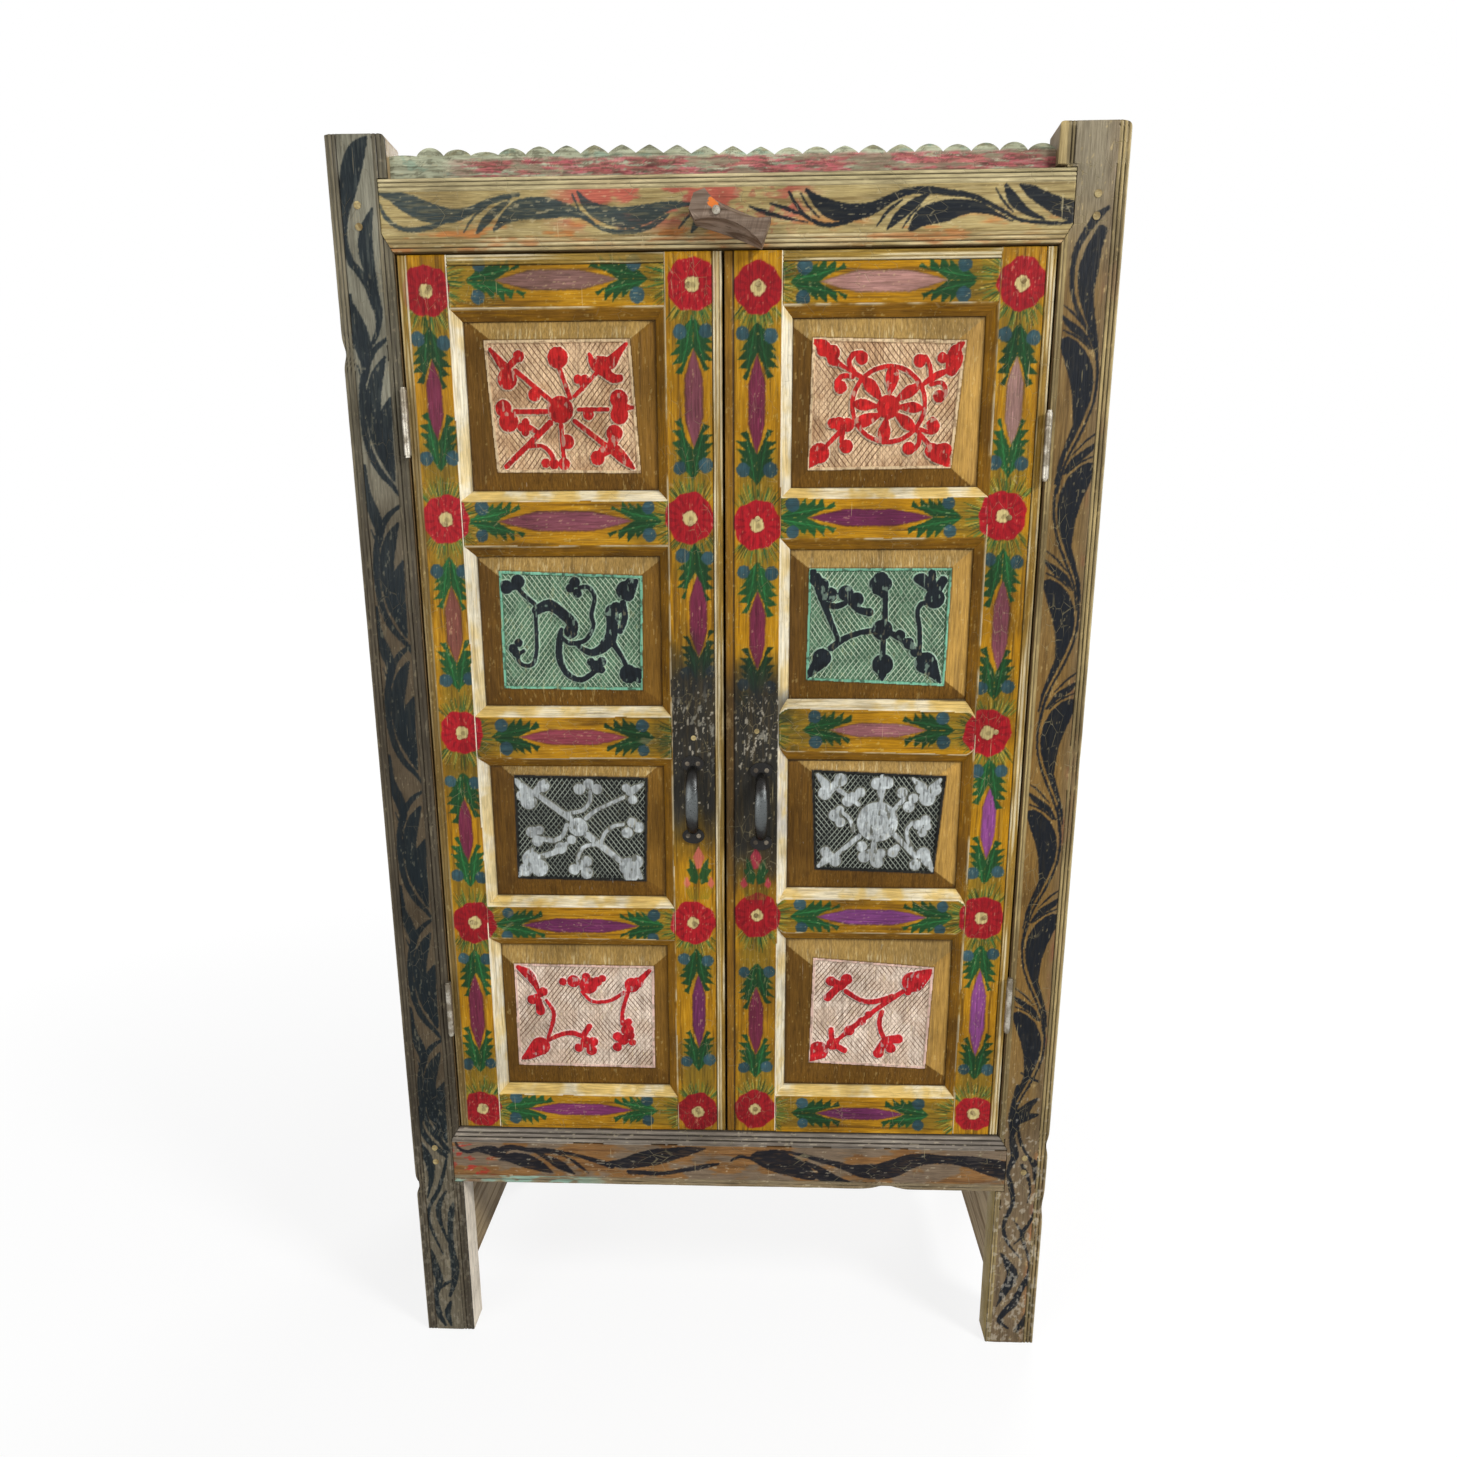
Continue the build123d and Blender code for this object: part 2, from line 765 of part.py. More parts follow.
def handle_screw_planes(side):
    """The two screws in each flange of a handle."""
    x = handle_centre(side)[0]
    return [
        Plane(origin=(x + offset, door_y[0] - handle_flange_thickness, z), z_dir=(0, 1, 0))
        for z in handle_flange_heights(side)
        for offset in (-handle_screw_spread / 2, handle_screw_spread / 2)
    ]


def door_stile(side, which):
    """A stile with a bevel along its inner edge, and every mortise, groove and hole in it."""
    sign = SIDES[side]
    outer, inner = stile_faces(side)
    if which == "outer":
        edge_x, face_x, inward = outer[1], outer[0], -1
    else:
        edge_x, face_x, inward = inner[0], inner[1], 1
    foot_x = face_x + inward * bevel_width
    outline = [
        (sign * edge_x, door_y[0]),
        (sign * face_x, door_y[0]),
        (sign * foot_x, door_y[0] + bevel_depth),
        (sign * foot_x, door_y[1]),
        (sign * edge_x, door_y[1]),
    ]
    with BuildPart() as stile:
        with BuildSketch(Plane.XY.offset(door_z[0])):
            with BuildLine():
                Polyline(*outline, close=True)
            make_face()
        extrude(amount=door_height)
        groove_x = limits(sign * foot_x, sign * (foot_x - inward * panel_groove_depth))
        block(groove_x, panel_groove_y, door_z, Mode.SUBTRACT)
        tenon_x = limits(sign * foot_x, sign * (foot_x - inward * (door_tenon_length + joint_fit)))
        for index in range(len(rail_faces(side))):
            tenon_z = grown(door_tenon_z(side, index), joint_fit)
            block(tenon_x, grown(door_tenon_y, joint_fit), tenon_z, Mode.SUBTRACT)
        for plane in door_peg_planes(side):
            dowel(plane, door_peg_radius, door_peg_length, Mode.SUBTRACT)
        if which == "inner" and side == "right":
            groove_down(sign * (edge_x + plain_strip_width), door_y[0], door_z)
        else:
            for index in range(1, bead_count + 1):
                bead_x = sign * (edge_x + inward * index * door_bead_pitch)
                groove_down(bead_x, door_y[0], door_z)
        if which == "outer":
            for height in hinge_heights(side):
                seat_x = limits(sign * edge_x, sign * (hinge_axis_x - leaf_gap / 2 - leaf_thickness))
                seat_y = (door_y[0], leaf_end_y + joint_fit)
                block(seat_x, seat_y, grown(hinge_leaf_z(height), joint_fit), Mode.SUBTRACT)
            for plane in hinge_screw_planes(side, -1):
                screw(plane, screw_fit, Mode.SUBTRACT)
        else:
            for plane in handle_screw_planes(side):
                screw(plane, screw_fit, Mode.SUBTRACT)
    return stile.part


def door_rail(side, index):
    """A rail whose bevels meet the stiles' bevels in mitres, tenoned into both stiles."""
    sign = SIDES[side]
    outer, inner = stile_faces(side)
    opening = panel_opening_x(side)
    face = rail_faces(side)[index]
    span = rail_span(side, index)
    bevel_y = door_y[0] + bevel_depth
    plan = [
        (sign * inner[1], door_y[0]),
        (sign * outer[0], door_y[0]),
        (sign * opening[1], bevel_y),
        (sign * opening[1], door_y[1]),
        (sign * opening[0], door_y[1]),
        (sign * opening[0], bevel_y),
    ]
    section = [(door_y[0], face[0]), (door_y[0], face[1])]
    if span[1] > face[1]:
        section.append((bevel_y, span[1]))
    section += [(door_y[1], span[1]), (door_y[1], span[0])]
    if span[0] < face[0]:
        section.append((bevel_y, span[0]))
    whole_x = mirrored((inner[1], outer[0]), sign)
    with BuildPart() as rail:
        with BuildSketch(Plane.XY.offset(span[0])):
            with BuildLine():
                Polyline(*plan, close=True)
            make_face()
        extrude(amount=length(span))
        with BuildSketch(Plane.YZ.offset(whole_x[0])):
            with BuildLine():
                Polyline(*section, close=True)
            make_face()
        extrude(amount=length(whole_x), mode=Mode.INTERSECT)
        tenon_x = mirrored(grown(opening, door_tenon_length), sign)
        block(tenon_x, door_tenon_y, door_tenon_z(side, index))
        groove_x = mirrored(opening, sign)
        if span[1] > face[1]:
            block(groove_x, panel_groove_y, (span[1] - panel_groove_depth, span[1]), Mode.SUBTRACT)
        if span[0] < face[0]:
            block(groove_x, panel_groove_y, (span[0], span[0] + panel_groove_depth), Mode.SUBTRACT)
        if span[1] == face[1]:
            for line in range(1, bead_count + 1):
                groove_across(whole_x, door_y[0], door_z[1] - line * door_bead_pitch)
        for plane in door_peg_planes(side):
            dowel(plane, door_peg_radius, door_peg_length, Mode.SUBTRACT)
    return rail.part


def door_panel(side, index):
    """A raised panel that floats in the grooves, with margins that slope up to a flat field."""
    sign = SIDES[side]
    opening_x = mirrored(panel_opening_x(side), sign)
    opening_z = (rail_span(side, index)[1], rail_span(side, index + 1)[0])
    edge_y = grown(panel_groove_y, -joint_fit)
    engaged = panel_groove_depth - panel_play
    with BuildPart() as panel:
        block(grown(opening_x, engaged), edge_y, grown(opening_z, engaged))
        foot_x = grown(opening_x, -panel_play)
        foot_z = grown(opening_z, -panel_play)
        with BuildSketch(Plane.XZ.offset(-edge_y[0])):
            with Locations((middle(foot_x), middle(foot_z))):
                Rectangle(length(foot_x), length(foot_z))
        with BuildSketch(Plane.XZ.offset(-door_y[0] - panel_field_depth)):
            with Locations((middle(opening_x), middle(opening_z))):
                Rectangle(
                    length(opening_x) - 2 * panel_margin_side,
                    length(opening_z) - 2 * panel_margin_end,
                )
        loft()
    return panel.part


def door_handle(side):
    """A bow handle: two oval flanges and a swelling grip that arches out from the stile."""
    x, y, z = handle_centre(side)
    flanges = handle_flange_heights(side)
    half_span = (handle_length - 2 * handle_flange_height) / 2 + handle_end_thickness / 2
    rise = handle_projection - handle_grip_thickness / 2 - handle_flange_thickness / 2
    root_y = y - handle_flange_thickness / 2
    with BuildPart() as handle:
        for flange_z in flanges:
            with BuildSketch(Plane.XZ.offset(-y)):
                with Locations((x, flange_z)):
                    Ellipse(handle_flange_width / 2, handle_flange_height / 2)
            extrude(amount=handle_flange_thickness)
        for plane in handle_screw_planes(side):
            screw(plane, screw_fit, Mode.SUBTRACT)
    with BuildPart() as grip:
        for index in range(handle_station_count):
            turn = math.pi * index / (handle_station_count - 1)
            swell = math.sin(turn)
            width = handle_end_width + (handle_grip_width - handle_end_width) * swell
            thickness = handle_end_thickness + (handle_grip_thickness - handle_end_thickness) * swell
            place = (x, root_y - rise * math.sin(turn), z + half_span * math.cos(turn))
            along = (0, -rise * math.cos(turn), -half_span * math.sin(turn))
            with BuildSketch(Plane(origin=place, x_dir=(1, 0, 0), z_dir=along)):
                Ellipse(width / 2, thickness / 2)
        loft()
    with BuildPart() as whole:
        add(handle.part)
        add(grip.part)
    return whole.part


def door_screws(side):
    """The screws of one door's hinge leaves and handle."""
    with BuildPart() as screws:
        for plane in hinge_screw_planes(side, -1) + handle_screw_planes(side):
            screw(plane)
    return screws.part


def door_pegs(side):
    """The pegs of one door."""
    with BuildPart() as pegs:
        for plane in door_peg_planes(side):
            dowel(plane, door_peg_radius, door_peg_length)
    return pegs.part


os.makedirs("parts", exist_ok=True)

# Carcass
for side in SIDES:
    save(front_post(side), f"{side}_front_post")
    save(rear_post(side), f"{side}_rear_post")
    save(side_rail(side, side_bottom_z, (side_board_z[0] - joint_fit, side_bottom_z[1])), f"{side}_side_bottom_rail")
    save(side_rail(side, side_top_z, (side_top_z[0], side_board_z[1] + joint_fit)), f"{side}_side_top_rail")
    save(side_boards(side), f"{side}_side_boards")
save(front_rail(top_rail_z, rail_bead_pitch, rail_bead_pitch), "top_front_rail")
save(front_rail(bottom_rail_z, sill_bead_pitch, rail_bead_pitch), "bottom_front_rail")
save(rear_rail(side_top_z), "rear_top_rail")
save(rear_rail(bottom_rail_z), "rear_bottom_rail")
save(crest_board(), "crest_board")
save(roof_boards(), "roof_boards")
save(
    between_boards(back_board_y, (bottom_rail_z[0], roof_z[0]), back_board_count, "x"),
    "back_boards",
)
save(
    between_boards((stop_y, back_board_y[0]), floor_z, floor_board_count, "y"),
    "floor_boards",
)
save(
    between_boards((stop_y + shelf_setback, back_board_y[0]), shelf_z, shelf_board_count, "y"),
    "hat_shelf",
)
save(
    between_boards((stop_y, stop_y + stop_depth), (head_height - stop_height, head_height), 1, "y"),
    "door_stop_strip",
)
save(cleats(), "board_cleats")
save(hanging_rail(), "hanging_rail")
save(rail_sockets(), "hanging_rail_sockets")
save(frame_pegs(), "frame_pegs")
save(hinge_leaves(SIDES, 1), "frame_hinge_leaves")
save(frame_hinge_screws(), "frame_hinge_screws")
save(hinge_pins(), "hinge_pins")
save(latch_nail(), "latch_nail")
save(turn_latch(), "turn_latch")

# Doors
RAIL_NAMES = ("bottom_rail", "rail_4", "rail_3", "rail_2", "top_rail")
PANEL_NAMES = ("panel_4", "panel_3", "panel_2", "panel_1")
for side in SIDES:
    save(door_stile(side, "outer"), f"{side}_door_outer_stile")
    save(door_stile(side, "inner"), f"{side}_door_inner_stile")
    for index, name in enumerate(RAIL_NAMES):
        save(door_rail(side, index), f"{side}_door_{name}")
    for index, name in enumerate(PANEL_NAMES):
        save(door_panel(side, index), f"{side}_door_{name}")
    save(hinge_leaves([side], -1), f"{side}_door_hinge_leaves")
    save(door_handle(side), f"{side}_door_handle")
    save(door_screws(side), f"{side}_door_screws")
    save(door_pegs(side), f"{side}_door_pegs")
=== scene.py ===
import math

import bpy
import numpy as np
from mathutils import Matrix, Vector


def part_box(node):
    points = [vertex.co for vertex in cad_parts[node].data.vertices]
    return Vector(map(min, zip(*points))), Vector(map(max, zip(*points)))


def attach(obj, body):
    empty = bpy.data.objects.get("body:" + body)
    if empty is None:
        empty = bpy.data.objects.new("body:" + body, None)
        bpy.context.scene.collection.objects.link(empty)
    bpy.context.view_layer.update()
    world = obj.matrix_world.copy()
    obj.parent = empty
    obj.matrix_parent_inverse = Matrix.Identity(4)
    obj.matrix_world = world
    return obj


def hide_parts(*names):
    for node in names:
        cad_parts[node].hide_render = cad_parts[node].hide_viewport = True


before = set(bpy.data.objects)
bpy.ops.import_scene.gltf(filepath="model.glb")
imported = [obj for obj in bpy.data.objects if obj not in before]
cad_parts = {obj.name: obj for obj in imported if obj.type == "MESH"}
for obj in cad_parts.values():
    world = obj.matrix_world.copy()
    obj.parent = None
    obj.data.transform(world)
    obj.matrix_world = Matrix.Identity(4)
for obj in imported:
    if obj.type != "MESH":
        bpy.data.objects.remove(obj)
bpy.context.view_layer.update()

# Sizes are in millimetres here, and become metres where a mesh is made.
MM = 0.001
# Steps of the grid of a painted board, and of the finer one over a carved field
PITCH = 1.25
FIELD_PITCH = 0.75

# On which side of the middle a left and a right piece lie
SIGN = {"left": -1, "right": 1}
# Planes and levels of the front
HALF_WIDTH = 485.0
POST_INNER = 410.0
FRONT_Y = -224.5
POST_BACK = FRONT_Y + 50.0
RAIL_BACK = FRONT_Y + 40.0
DOOR_Y = FRONT_Y + 3.0
DOOR_BACK = DOOR_Y + 30.0
PANEL_BACK = DOOR_Y + 19.0
DOOR_Z = (365.5, 1571.0)
TOP_RAIL_Z = (1573.0, 1655.5)
BOTTOM_RAIL_Z = (270.0, 364.0)
HORN_Z = 1657.5
TOP_Z = 1704.0
# How far a front rail laps over a post, and the height of its mitred edge
LAP = 13.0
MITRE = 22
# A door's bevels, how far a panel reaches under them, its carved field, and the beads along its edges
BEVEL = 14.0
BEVEL_DEPTH = 13.5
TUCK = 1.5
FIELD_DEPTH = 8.0
BEAD_PITCH = 4.2
DOOR_BEADS = 3
# How far past its own place a painted shape with a soft, ragged edge is worked out
REACH = 14
# Faces that meet at more than this angle have a sharp edge between them
SHARP_ANGLE = math.radians(42)


def rgb(red, green, blue):
    """A colour from its 0 to 255 values."""
    return np.array((red, green, blue)) / 255


# Paints
OCHRE = rgb(177, 126, 16)
OCHRE_DARK = rgb(92, 62, 14)
OCHRE_PALE = rgb(206, 158, 48)
CREAM = rgb(238, 230, 206)
CREAM_YELLOW = rgb(226, 194, 118)
# the brown of the bevels that face left and down, darker as painted shade
BEVEL_BROWN = rgb(140, 98, 26)
OLIVE = rgb(104, 94, 38)
CRIMSON = rgb(156, 20, 32)
CRIMSON_DARK = rgb(104, 12, 24)
CENTRE = rgb(204, 190, 128)
LEAF = rgb(22, 62, 32)
LEAF_PALE = rgb(58, 108, 60)
BRISTLE = rgb(112, 116, 36)
BERRY = rgb(38, 64, 72)
BERRY_PALE = rgb(70, 104, 116)
SOOT = rgb(36, 37, 38)
# the dark of joints, and the painted shade in grooves and creases
JOINT_AND_SHADE = rgb(34, 26, 18)
PINK = rgb(204, 104, 92)
DOOR_FLECKS = rgb(216, 196, 140)
DOOR_INSIDE = rgb(128, 100, 62)


# Repeatable noise


# Large odd factors that mix the bits of a whole number
MIX_I, MIX_J, MIX_SEED, MIX_ALL = 374761393, 668265263, 362437, 1274126177
LOW_32_BITS = 0xFFFFFFFF
LOW_16_BITS = 0xFFFF


def lattice(i, j, seed):
    """A repeatable number from 0 to 1 at each point of a whole-number grid."""
    mixed = (i * MIX_I + j * MIX_J + seed * MIX_SEED) & LOW_32_BITS
    mixed = ((mixed ^ (mixed >> 13)) * MIX_ALL) & LOW_32_BITS
    return ((mixed ^ (mixed >> 16)) & LOW_16_BITS) / LOW_16_BITS


def smooth(t):
    """A share from 0 to 1 with a soft start and a soft end."""
    return t * t * (3 - 2 * t)


def noise(u, v, seed):
    """Smooth noise from 0 to 1 with features about one unit across."""
    i = np.floor(u).astype(np.int64)
    j = np.floor(v).astype(np.int64)
    s = smooth(u - i)
    t = smooth(v - j)
    low = lattice(i, j, seed) * (1 - s) + lattice(i + 1, j, seed) * s
    high = lattice(i, j + 1, seed) * (1 - s) + lattice(i + 1, j + 1, seed) * s
    return low * (1 - t) + high * t


def clouds(u, v, seed, octaves=4):
    """Several layers of noise, each finer and fainter."""
    total = 0.0
    weight = 0.0
    for level in range(octaves):
        share = 0.5**level
        total = total + noise(u * 2**level, v * 2**level, seed + 17 * level) * share
        weight += share
    return total / weight


def ease(low, high, value):
    """Rises smoothly from 0 at low to 1 at high."""
    return smooth(np.clip((value - low) / (high - low), 0, 1))


def bump_at(value, middle, width):
    """A smooth bump that is 1 at its middle."""
    return np.exp(-(((value - middle) / width) ** 2))


def curve(points, steps=6):
    """A smooth line through points; each has a place and a width."""
    if len(points) < 3:
        return [tuple(p) for p in points]
    path = [points[0], *points, points[-1]]
    line = []
    for k in range(1, len(path) - 2):
        a, b, c, d = (np.array(p, float) for p in path[k - 1 : k + 3])
        for n in range(steps):
            t = n / steps
            line.append(0.5 * (2 * b + (c - a) * t + (2 * a - 5 * b + 4 * c - d) * t**2
                               + (3 * b - a - 3 * c + d) * t**3))
    line.append(np.array(points[-1], float))
    return [tuple(p) for p in line]


def from_segment(x, z, a, b):
    """How far along a segment its nearest point lies, from 0 to 1, and the distance from that point."""
    ax, az = a
    dx = b[0] - ax
    dz = b[1] - az
    t = np.clip(((x - ax) * dx + (z - az) * dz) / max(dx * dx + dz * dz, 1e-9), 0, 1)
    return t, np.hypot(x - ax - t * dx, z - az - t * dz)


def to_line(x, z, line):
    """Distance from a line whose points have a place and a width."""
    best = np.full(x.shape, 1e3)
    for (*a, a_width), (*b, b_width) in zip(line, line[1:]):
        t, away = from_segment(x, z, a, b)
        best = np.minimum(best, away - (a_width + (b_width - a_width) * t) / 2)
    return best


def to_outline(x, z, outline):
    """Distance from a closed outline, negative inside."""
    best = np.full(x.shape, 1e3)
    inside = np.zeros(x.shape, bool)
    for a, b in zip(outline, [*outline[1:], outline[0]]):
        best = np.minimum(best, from_segment(x, z, a, b)[1])
        if a[1] != b[1]:
            crosses = (a[1] > z) != (b[1] > z)
            inside ^= crosses & (x < a[0] + (z - a[1]) * (b[0] - a[0]) / (b[1] - a[1]))
    return np.where(inside, -best, best)


def from_edges(x, z, x_span, z_span):
    """Distance inwards from the nearest edge of a rectangle."""
    return np.minimum(np.minimum(x - x_span[0], x_span[1] - x), np.minimum(z - z_span[0], z_span[1] - z))


def steps_between(low, high, pitch):
    """Even steps from low to high, about a pitch apart."""
    return np.linspace(low, high, max(2, round((high - low) / pitch) + 1))


class Canvas:
    """The front of a board as a fine grid, with a depth behind its front plane and a colour at each point."""

    def __init__(self, xs, zs, seed, upright=True, bend=None):
        self.xs = xs
        self.zs = zs
        self.seed = seed
        self.x, self.z = np.meshgrid(xs, zs)
        if bend:
            self.x, self.z = bend(self.x, self.z)
        self.depth = np.zeros(self.x.shape)
        self.colour = np.zeros(self.x.shape + (3,))
        self.cut = np.zeros(self.x.shape)
        self.ragged = clouds(self.x / 2.6, self.z / 2.6, seed, 2) - 0.5
        self.along, self.across = (self.z, self.x) if upright else (self.x, self.z)

    def streaks(self, wide, long, seed):
        """Noise drawn out along the grain."""
        return clouds(self.across / wide, self.along / long, self.seed + seed)

    def near(self, x_span, z_span, margin=REACH):
        """The part of the grid within a margin of two spans."""
        a, b = np.searchsorted(self.xs, (x_span[0] - margin, x_span[1] + margin))
        c, d = np.searchsorted(self.zs, (z_span[0] - margin, z_span[1] + margin))
        return slice(c, d), slice(a, b)

    def near_disc(self, x, z, radius):
        """The part of the grid round a disc."""
        return self.near((x - radius, x + radius), (z - radius, z + radius))

    def near_line(self, line, margin=REACH):
        """The part of the grid round a line whose points have a place and a width."""
        x, z, width = (np.array(v) for v in zip(*line))
        return self.near((x.min(), x.max()), (z.min(), z.max()), width.max() / 2 + margin)

    def tint(self, colour, amount, at=...):
        """Mixes a colour into the whole board or into a part of the grid."""
        amount = np.broadcast_to(amount, self.x[at].shape)
        self.colour[at] += (colour - self.colour[at]) * amount[..., None]

    def lay(self, at, distance, colour, cover=1.0, soft=1.2, ragged=1.5, streaky=0.0):
        """Paints where a distance is negative, with a hand-painted edge."""
        mask = np.clip(0.5 - (distance + self.ragged[at] * ragged) / soft, 0, 1) * cover
        if streaky:
            fine = clouds(self.across[at] / 1.6, self.along[at] / 16, self.seed + 91, 3)
            mask = mask * (1 - streaky * ease(0.45, 0.75, fine))
        self.tint(colour, mask, at)

    def disc(self, x, z, radius, colour, **how):
        """Paints a disc."""
        at = self.near_disc(x, z, radius)
        self.lay(at, np.hypot(self.x[at] - x, self.z[at] - z) - radius, colour, **how)

    def brush(self, points, colour, **how):
        """Paints a stroke through points with a place and a width."""
        line = curve(points)
        at = self.near_line(line)
        self.lay(at, to_line(self.x[at], self.z[at], line), colour, **how)

    def patch(self, outline, colour, **how):
        """Paints the inside of an outline."""
        x, z = (np.array(v) for v in zip(*outline))
        at = self.near((x.min(), x.max()), (z.min(), z.max()))
        self.lay(at, to_outline(self.x[at], self.z[at], outline), colour, **how)


def beads(distance, count, pitch, height):
    """Depth of rounded beads side by side, that start at an edge."""
    phase = np.abs(2 * (distance / pitch % 1) - 1)
    return np.where((distance >= 0) & (distance < count * pitch), height * phase**3, 0)


def wood_ground(canvas, base, dark, pale):
    """The first coat: a colour that is streaked along the grain and patchy."""
    canvas.tint(base, 1)
    canvas.tint(dark, 0.75 * ease(0.5, 0.78, canvas.streaks(3.2, 95, 1)))
    canvas.tint(pale, 0.55 * ease(0.52, 0.8, canvas.streaks(2.2, 60, 2)))
    canvas.tint(dark, 0.5 * ease(0.5, 0.85, clouds(canvas.x / 70, canvas.z / 70, canvas.seed + 3)))


def wear(canvas, colour, amount, fine=2.4, long=9.0):
    """Small flecks where the paint is gone, drawn out along the grain."""
    spots = canvas.streaks(fine, long, 40)
    place = clouds(canvas.x / 45, canvas.z / 45, canvas.seed + 41)
    canvas.tint(colour, amount * ease(0.72, 0.79, spots + 0.2 * (place - 0.5)))


def hand_made(canvas, deep=0.35):
    """A slightly uneven surface."""
    wave = clouds(canvas.x / 26, canvas.z / 26, canvas.seed + 5, 3)
    grain = canvas.streaks(1.8, 40, 6)
    canvas.depth += deep * wave + 0.22 * ease(0.45, 0.8, grain)


def end_wear(canvas, x_span, z_span):
    """Rounds the edges of a board a little and unevenly."""
    uneven = 0.7 + clouds(canvas.x / 14, canvas.z / 14, canvas.seed + 9)
    edge = from_edges(canvas.x, canvas.z, x_span, z_span)
    canvas.depth += 0.9 * uneven * np.clip(1 - edge / 1.8, 0, 1) ** 2


# Meshes


def to_linear(colour):
    """The linear values of a colour."""
    colour = np.clip(colour, 0, 1)
    return np.where(colour <= 0.04045, colour / 12.92, ((colour + 0.055) / 1.055) ** 2.4)


def back_faces(rows, columns, wide):
    """A board's back as places in the ring of its edge points: strips across its long way, and two ends."""
    begin, rungs, end_steps = (0, columns, rows - 1) if wide else (columns - 1, rows, columns - 1)
    steps = np.arange(1, rungs - 2)
    near, far = begin + steps, begin - end_steps - steps
    strips = np.stack([near + 1, near, far, far - 1], -1)
    end_points = np.arange(end_steps + 3)
    ends = np.stack([begin + 1 - end_points, begin - end_steps - rungs + 2 - end_points])
    return strips, ends


def new_mesh(name, points, loops, starts):
    """A mesh from its points, the points round each face, and where each face starts among these."""
    mesh = bpy.data.meshes.new(name)
    mesh.vertices.add(len(points))
    mesh.vertices.foreach_set("co", (points * MM).ravel())
    mesh.loops.add(len(loops))
    mesh.loops.foreach_set("vertex_index", loops.astype(np.int32))
    mesh.polygons.add(len(starts))
    mesh.polygons.foreach_set("loop_start", starts.astype(np.int32))
    mesh.update(calc_edges=True)
    return mesh


def closed_board(name, canvas, front_y, back_y, wall_colour, back_colour, side_inset=0):
    """A closed board: the canvas in front, walls round it and a flat back.

    The back is narrower by side_inset at each side. The walls have one colour, or one by their places."""
    rows, columns = canvas.x.shape
    front = np.stack([canvas.x, front_y + canvas.depth, canvas.z], -1).reshape(-1, 3)
    index = np.arange(rows * columns).reshape(rows, columns)
    ring = np.concatenate([index[0, :-1], index[:-1, -1], index[-1, :0:-1], index[:0:-1, 0]])
    back = front[ring].copy()
    low, high = back[:, 0].min(), back[:, 0].max()
    back[:, 0] = np.interp(back[:, 0], (low, high), (low + side_inset, high - side_inset))
    back[:, 1] = back_y
    points = np.concatenate([front, back])
    quads = np.stack([index[:-1, :-1], index[:-1, 1:], index[1:, 1:], index[1:, :-1]], -1).reshape(-1, 4)
    own = np.arange(len(ring)) + rows * columns
    walls = np.stack([ring, own, np.roll(own, -1), np.roll(ring, -1)], -1)
    wide = np.ptp(back[:, 0]) > np.ptp(back[:, 2])
    strips, ends = (own[places % len(ring)] for places in back_faces(rows, columns, wide))
    loops = np.concatenate([quads.ravel(), walls.ravel(), strips.ravel(), ends.ravel()])
    four_sided = len(quads) + len(walls) + len(strips)
    starts = np.append(np.arange(four_sided + 1) * 4, four_sided * 4 + ends.shape[1])
    mesh = new_mesh(name, points, loops, starts)
    paint = np.ones((len(loops), 4))
    paint[: quads.size, :3] = canvas.colour.reshape(-1, 3)[quads.ravel()]
    if callable(wall_colour):
        middles = points[walls].mean(1)
        wall_colour = wall_colour(middles[:, :1], middles[:, 2:])
    tones = np.broadcast_to(wall_colour, (len(walls), 3))
    paint[quads.size : quads.size + walls.size, :3] = np.repeat(tones, 4, 0)
    paint[quads.size + walls.size :, :3] = back_colour
    paint[:, :3] = to_linear(paint[:, :3])
    layer = mesh.color_attributes.new("paint", "FLOAT_COLOR", "CORNER")
    layer.data.foreach_set("color", paint.ravel())
    if canvas.cut.any():
        cut = np.zeros(len(loops))
        cut[: quads.size] = canvas.cut.ravel()[quads.ravel()]
        layer = mesh.attributes.new("cut", "FLOAT", "CORNER")
        layer.data.foreach_set("value", cut)
    mesh.polygons.foreach_set("use_smooth", np.arange(len(starts)) < len(quads))
    mesh.set_sharp_from_angle(angle=SHARP_ANGLE)
    mesh.validate()
    board = bpy.data.objects.new(name, mesh)
    bpy.context.scene.collection.objects.link(board)
    return board


def dress(board, material, body, slot_name, *nodes):
    """Gives a board its finish, hides the solids that it stands for and hangs it on its body."""
    board.data.materials.append(material)
    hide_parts(*nodes)
    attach(board, body)


# Finishes


def put(tree, socket, value):
    """Gives an input a value, or joins it to the output of another node."""
    if isinstance(value, bpy.types.NodeSocket):
        tree.links.new(value, socket)
    else:
        socket.default_value = value


def new_node(tree, kind, inputs=None, **settings):
    """A node with its settings and its inputs."""
    made = tree.nodes.new(kind)
    for key, value in settings.items():
        setattr(made, key, value)
    for key, value in (inputs or {}).items():
        put(tree, made.inputs[key], value)
    return made


